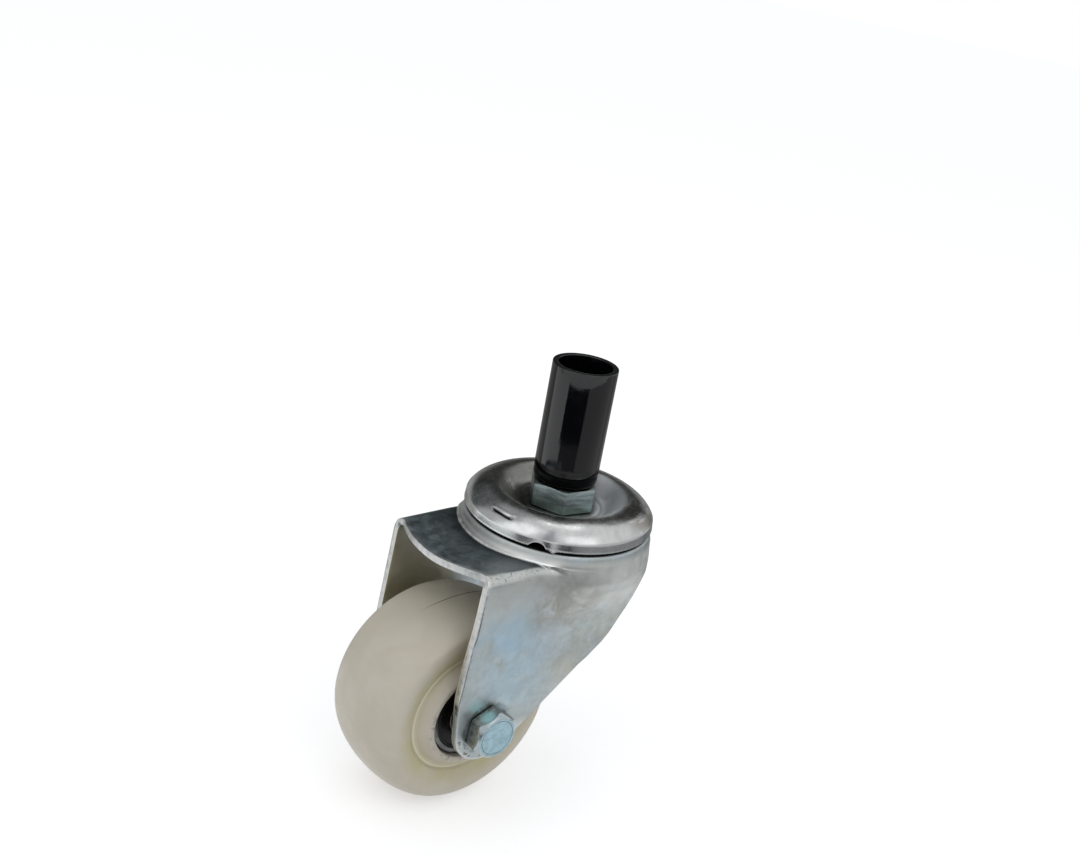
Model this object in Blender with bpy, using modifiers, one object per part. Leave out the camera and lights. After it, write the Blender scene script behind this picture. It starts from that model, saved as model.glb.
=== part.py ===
"""Swivel castor of a child's drift kart, screwed into the short leg tube that carries it.

Metres, +Z up. The swivel axis is the Z axis, the origin is the centre of the leg tube's top end,
and the wheel trails towards -X. The side with the axle bolt's head is -Y.
"""
import math

import bmesh
import bpy
from mathutils import Matrix, Vector

GAP = 0.0003  # between pieces that touch

# Leg tube and the threaded bush in its lower end
TUBE_DIAMETER = 0.0190
TUBE_WALL = 0.0016
TUBE_LENGTH = 0.0320
BUSH_FLANGE = 0.0030
BUSH_PLUG_LENGTH = 0.0150
BUSH_ROUNDING = 0.0011

# Stem, a bolt that hangs in the bush with its head under the fork
STEM_DIAMETER = 0.0120
STEM_ABOVE_BUSH = 0.0040
STEM_HEAD_ACROSS_FLATS = 0.0180
STEM_HEAD_HEIGHT = 0.0060
NUT_ACROSS_FLATS = 0.0180
NUT_HEIGHT = 0.0071
NUT_TURN = math.radians(53.4)  # direction of a corner, from +X

# Race cap, the pressed ring over the balls
CAP_DIAMETER = 0.0560
CAP_SHEET = 0.0016
CAP_SKIRT_HEIGHT = 0.0026
CAP_SKIRT_TAPER = 0.00025  # how much narrower the skirt is at its top
CAP_CREASE = math.radians(30)  # turn from the skirt to the start of the crest
CAP_CREST_HEIGHT = 0.0069
CAP_CREST_INSET = 0.0082  # from the skirt to the top of the crest
CAP_FLOOR_HEIGHT = 0.0027
CAP_FLOOR_DIAMETER = 0.0256

# Fork, one piece of pressed sheet
FORK_WIDTH = 0.0442
FORK_SHEET = 0.0020
FORK_FOLD_RADIUS = 0.0030
DRUM_DIAMETER = 0.0572
BOSS_TOP_DIAMETER = 0.0530
BOSS_RISE = 0.0040  # top of the boss over the web
BOSS_FOOT_REACH = 0.0010  # fillet at the boss's foot, forward over the web
BOSS_FOOT_HEIGHT = 0.0008
BOSS_BELOW_SKIRT = 0.0007
BOSS_HUB_DIAMETER = 0.0250
FLARE_DEPTH = 0.0270  # below the web, where the legs are flat again
FRONT_MARGIN = 0.0020  # front edge of the legs beyond their lobes, at the axle's height
FRONT_LEAN = 0.075  # how much that edge draws back for each metre above the axle
WEB_BULGE = 0.0039  # of the web's front edge beyond the legs' front edges
REAR_SKIRT_DROP = 0.0125  # lower edge of the drum behind, below the cap's skirt
REAR_CORNER_X = 0.0150  # where that edge turns down into the leg's back edge
REAR_CORNER_RADIUS = 0.0060
BACK_BEND_X = 0.0085  # bend in the leg's back edge
BACK_BEND_DROP = 0.0314
BACK_BEND_RADIUS = 0.0140
LOBE_RADIUS = 0.0104  # of the leg's end round the axle

# Axle
TRAIL = 0.0328
AXLE_DROP = 0.0526  # below the cap's skirt
BOLT_DIAMETER = 0.0080
BOLT_HEAD_ACROSS_FLATS = 0.0130
BOLT_HEAD_HEIGHT = 0.0052
BOLT_HEAD_TURN = math.radians(23.8)  # direction of a corner, from +X
BOLT_PAST_NUT = 0.0022
AXLE_NUT_HEIGHT = 0.0078
SLEEVE_WALL = 0.0004
SPACER_DIAMETER = 0.0140

# Wheel, moulded with two pockets for ball bearings
WHEEL_DIAMETER = 0.0620
TREAD_WIDTH = 0.0298
TREAD_CROWN = 0.0051
GROOVE_DIAMETER = 0.0386
GROOVE_INSET = 0.0018  # from the tread's side to the bottom of the groove
WHEEL_HUB_DIAMETER = 0.0292
WHEEL_HUB_WIDTH = 0.0326
WHEEL_BORE = 0.0170
BEARING_DIAMETER = 0.0260
BEARING_BORE = 0.0100
BEARING_WIDTH = 0.0080
BEARING_RECESS = 0.0014  # of its face below the hub's
BEARING_RING = 0.0022  # thickness of each ring
SEAL_THICKNESS = 0.0010
SEAL_INSET = 0.0004

# Lower race cup, held under the fork by the stem's head
CUP_DIAMETER = 0.0340
CUP_DEPTH = 0.0042
CUP_SHEET = 0.0016

HEX_FACE_SHARE = 0.96  # of a nut's flats, where the chamfer starts
HEX_CHAMFER = math.radians(28)

ROUND_STEPS = 48
SMALL_STEPS = 28

# Heights, from the leg's top end down
BUSH_Z = -TUBE_LENGTH - GAP
NUT_TOP_Z = BUSH_Z - BUSH_FLANGE - GAP
NUT_BOTTOM_Z = NUT_TOP_Z - NUT_HEIGHT
FLOOR_Z = NUT_BOTTOM_Z - GAP
SKIRT_Z = FLOOR_Z - CAP_FLOOR_HEIGHT
BOSS_Z = SKIRT_Z - BOSS_BELOW_SKIRT
WEB_Z = BOSS_Z - BOSS_RISE
HUB_Z = FLOOR_Z - CAP_SHEET - GAP
CUP_Z = BOSS_Z - FORK_SHEET - GAP
STEM_HEAD_Z = CUP_Z - CUP_DEPTH - GAP
AXLE_Z = SKIRT_Z - AXLE_DROP
LEG_Y = FORK_WIDTH / 2
FRONT_LOW_Z = AXLE_Z - LOBE_RADIUS * 1.5
STEM_BORE_RADIUS = STEM_DIAMETER / 2 + GAP
BOLT_BORE_RADIUS = BOLT_DIAMETER / 2 + GAP

for old in list(bpy.data.objects):
    bpy.data.objects.remove(old, do_unlink=True)
parts = bpy.data.collections.new("swivel_castor")
cutters = bpy.data.collections.new("cutters")
bpy.context.scene.collection.children.link(parts)
bpy.context.scene.collection.children.link(cutters)


def finish(name, colour, roughness, metallic):
    """A plain finish in one colour."""
    mat = bpy.data.materials.new(name)
    mat.use_nodes = True
    shader = mat.node_tree.nodes["Principled BSDF"]
    shader.inputs["Base Color"].default_value = (*colour, 1)
    shader.inputs["Roughness"].default_value = roughness
    shader.inputs["Metallic"].default_value = metallic
    return mat


BLACK_PAINT = finish("black_paint", (0.012, 0.012, 0.014), 0.25, 0.0)
BLACK_BUSH = finish("black_bush", (0.008, 0.008, 0.009), 0.35, 0.0)
STEM_ZINC = finish("stem_zinc", (0.50, 0.52, 0.53), 0.40, 1.0)
NUT_ZINC = finish("nut_zinc", (0.52, 0.58, 0.58), 0.35, 1.0)
CAP_ZINC = finish("cap_zinc", (0.55, 0.56, 0.56), 0.25, 1.0)
FORK_ZINC = finish("fork_zinc", (0.50, 0.55, 0.58), 0.38, 1.0)
BOLT_ZINC = finish("bolt_zinc", (0.55, 0.66, 0.70), 0.32, 1.0)
SLEEVE_STEEL = finish("sleeve_steel", (0.45, 0.45, 0.45), 0.30, 1.0)
BEARING_STEEL = finish("bearing_steel", (0.40, 0.40, 0.41), 0.28, 1.0)
SEAL_RUBBER = finish("seal_rubber", (0.015, 0.015, 0.015), 0.60, 0.0)
WHEEL_NYLON = finish("wheel_nylon", (0.60, 0.55, 0.46), 0.45, 0.0)


def put(name, mesh, material=None, group=None, smooth_angle=35):
    """An object for a mesh: a part with its finish, or a hidden cutter with none."""
    obj = bpy.data.objects.new(name, mesh)
    (group or parts).objects.link(obj)
    if material is None:
        obj.hide_render = True
        obj.display_type = "WIRE"
        return obj
    mesh.materials.clear()
    mesh.materials.append(material)
    mesh.shade_smooth()
    mesh.set_sharp_from_angle(angle=math.radians(smooth_angle))
    return obj


def turned(name, profile, material=None, steps=ROUND_STEPS, closed=True, group=None):
    """A body of revolution about Z. The profile is (radius, z), down its outer side first."""
    mesh = bpy.data.meshes.new(name)
    bm = bmesh.new()
    verts = [bm.verts.new((r, 0, z)) for r, z in profile]
    for a, b in zip(verts, verts[1:]):
        bm.edges.new((a, b))
    if closed:
        bm.edges.new((verts[-1], verts[0]))
    bm.to_mesh(mesh)
    bm.free()
    obj = put(name, mesh, material, group)
    screw = obj.modifiers.new("turn", "SCREW")
    screw.angle = math.tau
    screw.steps = steps
    screw.render_steps = steps
    screw.use_merge_vertices = True
    screw.merge_threshold = 0.00001
    screw.use_smooth_shade = material is not None
    return obj


def boolean(obj, operation, other):
    """Adds an exact Boolean to an object."""
    cut = obj.modifiers.new(operation.lower(), "BOOLEAN")
    cut.operation = operation
    cut.solver = "EXACT"
    cut.object = other


def rod(name, radius, low, high, material=None, steps=SMALL_STEPS, group=None):
    """A plain cylinder on the Z axis."""
    profile = [(0, high), (radius, high), (radius, low), (0, low)]
    return turned(name, profile, material, steps, closed=False, group=group)


def along_y(obj, x=0.0, y=0.0, z=0.0):
    """Lays a piece made on Z along -Y, its top end towards -Y, and places it."""
    obj.rotation_euler = (math.radians(90), 0, 0)
    obj.location = (x, y, z)


def hex_body(name, across_flats, low, high, turn, material, chamfered_ends):
    """A hexagonal prism on Z with a corner at an angle, its corners turned off at the named ends."""
    corner = across_flats / 2 / math.cos(math.pi / 6)
    mesh = bpy.data.meshes.new(name)
    bm = bmesh.new()
    bmesh.ops.create_cone(bm, cap_ends=True, segments=6, radius1=corner, radius2=corner, depth=high - low)
    bmesh.ops.rotate(bm, verts=bm.verts, matrix=Matrix.Rotation(turn - math.pi / 2, 3, "Z"))
    bmesh.ops.translate(bm, verts=bm.verts, vec=(0, 0, (high + low) / 2))
    bm.to_mesh(mesh)
    bm.free()
    obj = put(name, mesh, material, smooth_angle=20)
    face = across_flats / 2 * HEX_FACE_SHARE
    wide = corner * 1.1
    fall = (wide - face) * math.tan(HEX_CHAMFER)
    upper = [(face, high), (wide, high - fall)] if "top" in chamfered_ends else [(wide, high)]
    lower = [(wide, low + fall), (face, low)] if "low" in chamfered_ends else [(wide, low)]
    limit = turned(name + "_limit", [(0, high), *upper, *lower, (0, low)], closed=False, group=cutters)
    limit.parent = obj
    boolean(obj, "INTERSECT", limit)
    return obj


def bored(obj, radius, low, high):
    """Cuts a round hole along the piece's own Z axis."""
    drill = rod(obj.name + "_drill", radius, low, high, group=cutters)
    drill.parent = obj
    boolean(obj, "DIFFERENCE", drill)


def leg():
    """Painted tube, open above, and the bush that closes its lower end."""
    outer = TUBE_DIAMETER / 2
    inner = outer - TUBE_WALL
    turned("leg_tube", [(outer, 0), (outer, -TUBE_LENGTH), (inner, -TUBE_LENGTH), (inner, 0)], BLACK_PAINT)
    plug = inner - GAP
    flange = outer - GAP
    low = BUSH_Z - BUSH_FLANGE
    top = BUSH_Z + BUSH_PLUG_LENGTH
    round_in = flange - BUSH_ROUNDING
    turned("leg_bush", [
        (plug, top), (plug, BUSH_Z), (flange, BUSH_Z), (flange, low + BUSH_ROUNDING),
        (round_in + BUSH_ROUNDING * 0.7, low + BUSH_ROUNDING * 0.3), (round_in, low),
        (STEM_BORE_RADIUS, low), (STEM_BORE_RADIUS, top)], BLACK_BUSH)


def stem():
    """The stem bolt and the thin nut that clamps the race cap to it."""
    top = BUSH_Z + BUSH_PLUG_LENGTH + STEM_ABOVE_BUSH
    head = hex_body("stem", STEM_HEAD_ACROSS_FLATS, STEM_HEAD_Z - STEM_HEAD_HEIGHT, STEM_HEAD_Z, 0.0,
                    STEM_ZINC, ("low",))
    chamfer = STEM_DIAMETER * 0.08
    radius = STEM_DIAMETER / 2
    profile = [(0, top), (radius - chamfer, top), (radius, top - chamfer), (radius, STEM_HEAD_Z - 0.001),
               (0, STEM_HEAD_Z - 0.001)]
    shank = turned("stem_shank", profile, steps=SMALL_STEPS, closed=False, group=cutters)
    boolean(head, "UNION", shank)
    nut = hex_body("stem_nut", NUT_ACROSS_FLATS, NUT_BOTTOM_Z, NUT_TOP_Z, NUT_TURN, NUT_ZINC, ("top", "low"))
    bored(nut, STEM_BORE_RADIUS, NUT_BOTTOM_Z - 0.001, NUT_TOP_Z + 0.001)


def race_cap():
    """The pressed ring: a skirt, a round crest and a flat floor that the nut clamps."""
    radius = CAP_DIAMETER / 2
    crest_r = radius - CAP_CREST_INSET
    wide = (CAP_CREST_INSET - CAP_SKIRT_TAPER) / math.cos(CAP_CREASE)
    high = (CAP_CREST_HEIGHT - CAP_SKIRT_HEIGHT) / (1 - math.sin(CAP_CREASE))
    middle = SKIRT_Z + CAP_CREST_HEIGHT - high
    floor_r = CAP_FLOOR_DIAMETER / 2
    outside = [(radius, SKIRT_Z)]
    for step in range(8):
        t = CAP_CREASE + (math.pi / 2 - CAP_CREASE) * step / 7
        outside.append((crest_r + wide * math.cos(t), middle + high * math.sin(t)))
    dip = CAP_CREST_HEIGHT - CAP_FLOOR_HEIGHT
    span = crest_r - floor_r
    for step in range(1, 7):
        t = step / 6
        ease = t * t * (3 - 2 * t)
        outside.append((crest_r - span * t, SKIRT_Z + CAP_CREST_HEIGHT - dip * ease))
    outside.append((STEM_BORE_RADIUS, FLOOR_Z))
    turned("race_cap", thickened(outside, CAP_SHEET), CAP_ZINC)


def thickened(outside, sheet):
    """Closes a line that runs inwards from the rim into a ring of even sheet below it."""
    inside = []
    last = len(outside) - 1
    for i, (r, z) in enumerate(outside):
        a = outside[max(i - 1, 0)]
        b = outside[min(i + 1, last)]
        along = Vector((b[0] - a[0], b[1] - a[1])).normalized()
        if i == last:
            along = Vector((-1, 0))
        if i == 0:
            along = Vector((0, 1))
        inside.append((r - sheet * along.y, z + sheet * along.x))
    return outside[::-1] + inside


def rounded(corners, steps=6):
    """An outline from (x, z, radius) corners, each rounded by an arc of its radius."""
    points = []
    for i, (x, z, radius) in enumerate(corners):
        here = Vector((x, z))
        if radius == 0:
            points.append(here)
            continue
        back = (Vector(corners[i - 1][:2]) - here).normalized()
        ahead = (Vector(corners[(i + 1) % len(corners)][:2]) - here).normalized()
        half = back.angle(ahead) / 2
        centre = here + (back + ahead).normalized() * radius / math.sin(half)
        first = here + back * radius / math.tan(half) - centre
        last = here + ahead * radius / math.tan(half) - centre
        turn = first.angle_signed(last)
        for step in range(steps + 1):
            points.append(centre + Matrix.Rotation(-turn * step / steps, 2) @ first)
    return points


def tangent_point(point, centre, radius, side):
    """Where a line from a point touches a circle, on its left (1) or right (-1) side."""
    reach = Vector(point) - Vector(centre)
    swing = side * math.acos(radius / reach.length)
    return Vector(centre) + Matrix.Rotation(swing, 2) @ (reach.normalized() * radius)


def leg_front(z):
    """How far forward of the swivel axis the legs' front edges are at a height."""
    return TRAIL + LOBE_RADIUS + FRONT_MARGIN - FRONT_LEAN * (z - AXLE_Z)


def leg_outline():
    """Side view of the fork: lobe round the axle, back edge and rear skirt."""
    top = WEB_Z + BOSS_RISE * 3
    front = (-leg_front(WEB_Z) - WEB_BULGE * 1.8, top)
    bend = (BACK_BEND_X, SKIRT_Z - BACK_BEND_DROP)
    axle = Vector((-TRAIL, AXLE_Z))
    start = tangent_point(front, axle, LOBE_RADIUS, 1) - axle
    end = tangent_point(bend, axle, LOBE_RADIUS, -1) - axle
    turn = (math.atan2(end.y, end.x) - math.atan2(start.y, start.x)) % math.tau
    lobe = []
    for step in range(13):
        point = axle + Matrix.Rotation(turn * step / 12, 2) @ start
        lobe.append((point.x, point.y, 0))
    skirt = SKIRT_Z - REAR_SKIRT_DROP
    behind = DRUM_DIAMETER / 2 + 0.0050
    return rounded([
        (*front, 0), *lobe, (*bend, BACK_BEND_RADIUS), (REAR_CORNER_X, skirt, REAR_CORNER_RADIUS),
        (behind, skirt, 0), (behind, top, 0)])


def prism(name, outline, half_width):
    """A cutter with an outline in the XZ plane, made from a filled flat curve."""
    curve = bpy.data.curves.new(name, "CURVE")
    curve.dimensions = "2D"
    curve.fill_mode = "BOTH"
    curve.extrude = half_width
    spline = curve.splines.new("POLY")
    spline.points.add(len(outline) - 1)
    for point, (x, z) in zip(spline.points, outline):
        point.co = (x, z, 0, 1)
    spline.use_cyclic_u = True
    flat = bpy.data.objects.new(name + "_curve", curve)
    cutters.objects.link(flat)
    flat.rotation_euler = (math.radians(90), 0, 0)
    bpy.context.view_layer.update()
    mesh = bpy.data.meshes.new_from_object(flat.evaluated_get(bpy.context.evaluated_depsgraph_get()))
    bm = bmesh.new()
    bm.from_mesh(mesh)
    bmesh.ops.remove_doubles(bm, verts=bm.verts, dist=0.000001)
    bmesh.ops.recalc_face_normals(bm, faces=bm.faces)
    bm.to_mesh(mesh)
    bm.free()
    obj = put(name, mesh, group=cutters)
    obj.matrix_world = flat.matrix_world
    bpy.data.objects.remove(flat, do_unlink=True)
    return obj


def fork_section(inset, flare):
    """Plan of half the fork's wall, from the middle behind to the open front.

    The drum is round. Where it is wider than the legs, flare says how far they bulge out to it."""
    radius = DRUM_DIAMETER / 2 - inset
    leg_y = LEG_Y - inset
    meet = math.degrees(math.asin(LEG_Y / (DRUM_DIAMETER / 2)))
    points = []
    for step in range(7):
        angle = math.radians(meet * step / 6)
        points.append((radius * math.cos(angle), radius * math.sin(angle)))
    for step in range(1, 13):
        angle = math.radians(meet + (180 - 2 * meet) * step / 12)
        bulge = max(radius * math.sin(angle) - leg_y, 0)
        points.append((radius * math.cos(angle), leg_y + flare * bulge))
    front = -leg_front(FRONT_LOW_Z) - WEB_BULGE * 2
    start = points[-1][0]
    for step in range(1, 5):
        points.append((start + (front - start) * step / 4, leg_y))
    return points


def fork_shell():
    """Crown and wall of one half as rows of points, mirrored, then given the sheet's thickness."""
    rows = [[(x, 0, WEB_Z) for x, y in fork_section(FORK_FOLD_RADIUS, 1)]]
    for step in range(5):
        t = math.radians(90 * step / 4)
        inset = FORK_FOLD_RADIUS * (1 - math.sin(t))
        z = WEB_Z - FORK_FOLD_RADIUS * (1 - math.cos(t))
        rows.append([(x, y, z) for x, y in fork_section(inset, 1)])
    low = WEB_Z - AXLE_Z + LOBE_RADIUS * 1.3
    depths = [FORK_FOLD_RADIUS + (FLARE_DEPTH - FORK_FOLD_RADIUS) * step / 6 for step in range(1, 7)]
    for depth in [*depths, low]:
        t = min((depth - FORK_FOLD_RADIUS) / (FLARE_DEPTH - FORK_FOLD_RADIUS), 1)
        rows.append([(x, y, WEB_Z - depth) for x, y in fork_section(0, 1 - t * t * (3 - 2 * t))])
    mesh = bpy.data.meshes.new("fork")
    bm = bmesh.new()
    grid = [[bm.verts.new(co) for co in row] for row in rows]
    for upper, lower in zip(grid, grid[1:]):
        for i in range(len(upper) - 1):
            bm.faces.new((upper[i], upper[i + 1], lower[i + 1], lower[i]))
    bmesh.ops.remove_doubles(bm, verts=bm.verts, dist=0.000001)
    bmesh.ops.recalc_face_normals(bm, faces=bm.faces)
    if max(bm.faces, key=lambda face: face.calc_center_median().z).normal.z < 0:
        bmesh.ops.reverse_faces(bm, faces=bm.faces)
    bm.to_mesh(mesh)
    bm.free()
    obj = put("fork", mesh, FORK_ZINC)
    mirror = obj.modifiers.new("other_half", "MIRROR")
    mirror.use_axis = (False, True, False)
    mirror.merge_threshold = 0.00001
    wall = obj.modifiers.new("sheet", "SOLIDIFY")
    wall.thickness = FORK_SHEET
    wall.offset = -1
    wall.use_even_offset = True
    obj.modifiers.new("plain_facets", "TRIANGULATE")
    return obj


def boss(rim):
    """The raised middle of the crown, which the drum's wall runs up into."""
    hub = BOSS_HUB_DIAMETER / 2
    edge = BOSS_TOP_DIAMETER / 2
    width = rim - edge
    outside = [
        (rim, WEB_Z - FORK_SHEET * 1.1), (rim - width * 0.10, WEB_Z + BOSS_RISE * 0.35),
        (rim - width * 0.25, WEB_Z + BOSS_RISE * 0.70), (rim - width * 0.60, WEB_Z + BOSS_RISE * 0.93),
        (edge, BOSS_Z), (hub + (HUB_Z - BOSS_Z), BOSS_Z), (hub, HUB_Z), (STEM_BORE_RADIUS, HUB_Z)]
    return turned("boss", thickened(outside, FORK_SHEET), group=cutters)


def boss_foot(rim):
    """The fillet in front between the boss and the web."""
    low = WEB_Z - FORK_SHEET / 2
    inner = rim - FORK_SHEET / 2
    top = WEB_Z + BOSS_FOOT_HEIGHT
    reach = rim + BOSS_FOOT_REACH
    foot = turned("boss_foot", [
        (inner, top), (rim, top), (rim + BOSS_FOOT_REACH * 0.4, WEB_Z + BOSS_FOOT_HEIGHT * 0.3), (reach, WEB_Z),
        (reach, low), (inner, low)], group=cutters)
    mesh = bpy.data.meshes.new("foot_limit")
    bm = bmesh.new()
    bmesh.ops.create_cube(bm, size=1)
    bmesh.ops.scale(bm, verts=bm.verts, vec=(rim * 2, (LEG_Y - FORK_FOLD_RADIUS) * 2, BOSS_RISE * 2))
    bmesh.ops.translate(bm, verts=bm.verts, vec=(-rim, 0, WEB_Z))
    bm.to_mesh(mesh)
    bm.free()
    boolean(foot, "INTERSECT", put("foot_limit", mesh, group=cutters))
    return foot


def fork():
    """The folded sheet, trimmed to its outline, with the raised boss and its bores."""
    shell = fork_shell()
    boolean(shell, "INTERSECT", prism("leg_trim", leg_outline(), FORK_WIDTH))
    high = WEB_Z + BOSS_RISE
    radius = (LEG_Y ** 2 + WEB_BULGE ** 2) / (2 * WEB_BULGE)
    reach_high = radius - FRONT_LEAN * (high - WEB_Z)
    reach_low = radius + FRONT_LEAN * (WEB_Z - FRONT_LOW_Z)
    trim = turned("front_trim", [(0, high), (reach_high, high), (reach_low, FRONT_LOW_Z), (0, FRONT_LOW_Z)],
                  steps=96, closed=False, group=cutters)
    trim.location.x = radius - leg_front(WEB_Z) - WEB_BULGE
    boolean(shell, "INTERSECT", trim)
    rim = DRUM_DIAMETER / 2 - FORK_FOLD_RADIUS * 0.1
    opening = rod("boss_opening", rim - FORK_SHEET * 0.8, WEB_Z - FORK_SHEET * 1.3, high, steps=ROUND_STEPS,
                  group=cutters)
    boolean(shell, "DIFFERENCE", opening)
    boolean(shell, "UNION", boss(rim))
    boolean(shell, "UNION", boss_foot(rim))
    bore = rod("bolt_bore", BOLT_BORE_RADIUS, -LEG_Y * 1.5, LEG_Y * 1.5, steps=SMALL_STEPS, group=cutters)
    along_y(bore, -TRAIL, 0, AXLE_Z)
    boolean(shell, "DIFFERENCE", bore)


def lower_cup():
    """Pressed cup of the lower ball race, between the fork and the stem's head."""
    rim = CUP_DIAMETER / 2
    floor = rim - CUP_DEPTH * 0.7
    turned("lower_cup", [
        (rim, CUP_Z), (rim, CUP_Z - CUP_DEPTH * 0.5), (floor, CUP_Z - CUP_DEPTH), (STEM_BORE_RADIUS, CUP_Z - CUP_DEPTH),
        (STEM_BORE_RADIUS, CUP_Z - CUP_DEPTH + CUP_SHEET), (floor - CUP_SHEET, CUP_Z - CUP_DEPTH + CUP_SHEET),
        (rim - CUP_SHEET, CUP_Z)], CAP_ZINC)


def axle():
    """Bolt, lock nut, the sleeve through the bearings and a spacer on each side."""
    seat = LEG_Y + GAP
    end = -seat - AXLE_NUT_HEIGHT - BOLT_PAST_NUT
    bolt = hex_body("axle_bolt", BOLT_HEAD_ACROSS_FLATS, seat, seat + BOLT_HEAD_HEIGHT, BOLT_HEAD_TURN,
                    BOLT_ZINC, ("top",))
    radius = BOLT_DIAMETER / 2
    chamfer = radius * 0.15
    shank = turned("bolt_shank", [
        (0, seat + 0.001), (radius, seat + 0.001), (radius, end + chamfer), (radius - chamfer, end), (0, end)],
        steps=SMALL_STEPS, closed=False, group=cutters)
    shank.parent = bolt
    boolean(bolt, "UNION", shank)
    along_y(bolt, -TRAIL, 0, AXLE_Z)
    nut = hex_body("axle_nut", BOLT_HEAD_ACROSS_FLATS, -seat - AXLE_NUT_HEIGHT, -seat, 0.0, BOLT_ZINC, ("low",))
    bored(nut, BOLT_BORE_RADIUS, -seat * 2, 0)
    along_y(nut, -TRAIL, 0, AXLE_Z)
    inner = BOLT_BORE_RADIUS
    outer = inner + SLEEVE_WALL
    half = LEG_Y - FORK_SHEET - GAP
    sleeve = turned("axle_sleeve", [(outer, half), (outer, -half), (inner, -half), (inner, half)], SLEEVE_STEEL,
                    SMALL_STEPS)
    along_y(sleeve, -TRAIL, 0, AXLE_Z)
    start = WHEEL_HUB_WIDTH / 2 - BEARING_RECESS + GAP
    outer = SPACER_DIAMETER / 2
    inner = inner + SLEEVE_WALL + GAP
    for side, turn in SIDES:
        spacer = turned("spacer_" + side, [(outer, half), (outer, start), (inner, start), (inner, half)],
                        SLEEVE_STEEL, SMALL_STEPS)
        along_y(spacer, -TRAIL, 0, AXLE_Z)
        spacer.rotation_euler.x *= turn


def wheel():
    """The moulded wheel, laid on its axle."""
    tread = WHEEL_DIAMETER / 2
    half = TREAD_WIDTH / 2
    face = WHEEL_HUB_WIDTH / 2
    pocket = BEARING_DIAMETER / 2 + GAP
    floor = face - BEARING_RECESS - BEARING_WIDTH - GAP
    side = [
        (pocket, face), (WHEEL_HUB_DIAMETER / 2, face), (WHEEL_HUB_DIAMETER / 2 + 0.0006, face - 0.0006),
        (GROOVE_DIAMETER / 2 - 0.0012, half - GROOVE_INSET), (GROOVE_DIAMETER / 2, half - GROOVE_INSET),
        (GROOVE_DIAMETER / 2 + 0.0022, half - GROOVE_INSET * 0.35), (tread - TREAD_CROWN - 0.0016, half)]
    for step in range(1, 6):
        t = math.radians(90 * step / 6)
        side.append((tread - TREAD_CROWN * (1 - math.sin(t)), half * math.cos(t)))
    other = [(r, -z) for r, z in reversed(side)]
    bore = WHEEL_BORE / 2
    inside = [(pocket, -floor), (bore, -floor), (bore, floor), (pocket, floor)]
    body = turned("wheel", [*side, (tread, 0), *other, *inside], WHEEL_NYLON)
    along_y(body, -TRAIL, 0, AXLE_Z)


def bearings():
    """A sealed ball bearing in each pocket: a ring with the seal let into its outer face."""
    face = WHEEL_HUB_WIDTH / 2 - BEARING_RECESS
    outer = BEARING_DIAMETER / 2
    inner = BEARING_BORE / 2
    out_ring = outer - BEARING_RING
    in_ring = inner + BEARING_RING
    seat = face - SEAL_INSET - SEAL_THICKNESS - GAP
    for side, turn in SIDES:
        ring = turned("bearing_" + side, [
            (outer, face), (outer, face - BEARING_WIDTH), (inner, face - BEARING_WIDTH), (inner, face),
            (in_ring, face), (in_ring, seat), (out_ring, seat), (out_ring, face)], BEARING_STEEL, SMALL_STEPS)
        top = face - SEAL_INSET
        low = top - SEAL_THICKNESS
        seal = turned("seal_" + side, [
            (out_ring - GAP, top), (out_ring - GAP, low), (in_ring + GAP, low), (in_ring + GAP, top)],
            SEAL_RUBBER, SMALL_STEPS)
        for piece in (ring, seal):
            along_y(piece, -TRAIL, 0, AXLE_Z)
            piece.rotation_euler.x *= turn


SIDES = (("near", 1), ("far", -1))  # the bolt head's side is near

leg()
stem()
race_cap()
lower_cup()
fork()
axle()
wheel()
bearings()
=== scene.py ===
"""Swivel castor of a drift kart, dressed for a photograph: gloss black leg tube, zinc-plated swivel
and fork, ivory nylon wheel. Metres, +Z up the swivel axis, the wheel trails towards -X.
"""
import math

import bmesh
import bpy
from mathutils import Matrix, Vector, noise


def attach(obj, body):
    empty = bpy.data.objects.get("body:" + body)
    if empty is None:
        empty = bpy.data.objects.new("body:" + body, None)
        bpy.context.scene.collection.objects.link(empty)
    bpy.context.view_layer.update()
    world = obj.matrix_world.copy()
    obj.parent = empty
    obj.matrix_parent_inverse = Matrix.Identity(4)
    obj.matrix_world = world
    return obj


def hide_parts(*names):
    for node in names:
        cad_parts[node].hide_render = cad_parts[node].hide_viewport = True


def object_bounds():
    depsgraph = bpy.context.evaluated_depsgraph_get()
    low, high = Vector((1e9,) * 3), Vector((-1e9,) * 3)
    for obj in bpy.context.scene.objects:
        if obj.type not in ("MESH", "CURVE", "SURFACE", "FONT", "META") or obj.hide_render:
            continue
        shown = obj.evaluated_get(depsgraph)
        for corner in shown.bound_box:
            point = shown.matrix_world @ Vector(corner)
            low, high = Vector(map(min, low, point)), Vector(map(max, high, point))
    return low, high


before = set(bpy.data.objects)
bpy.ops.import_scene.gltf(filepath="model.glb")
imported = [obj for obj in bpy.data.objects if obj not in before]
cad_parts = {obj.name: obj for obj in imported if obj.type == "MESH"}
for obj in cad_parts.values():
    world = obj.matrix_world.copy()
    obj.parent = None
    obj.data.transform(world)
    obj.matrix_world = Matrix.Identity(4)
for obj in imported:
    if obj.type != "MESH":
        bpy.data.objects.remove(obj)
cad_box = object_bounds()


# Studio: a pale floor under the wheel in a white surround, three soft lamps, and matt cards that
# only reflections see, as the dark things that stand round a set.
scene = bpy.context.scene
scene.view_settings.view_transform = "Standard"


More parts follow.
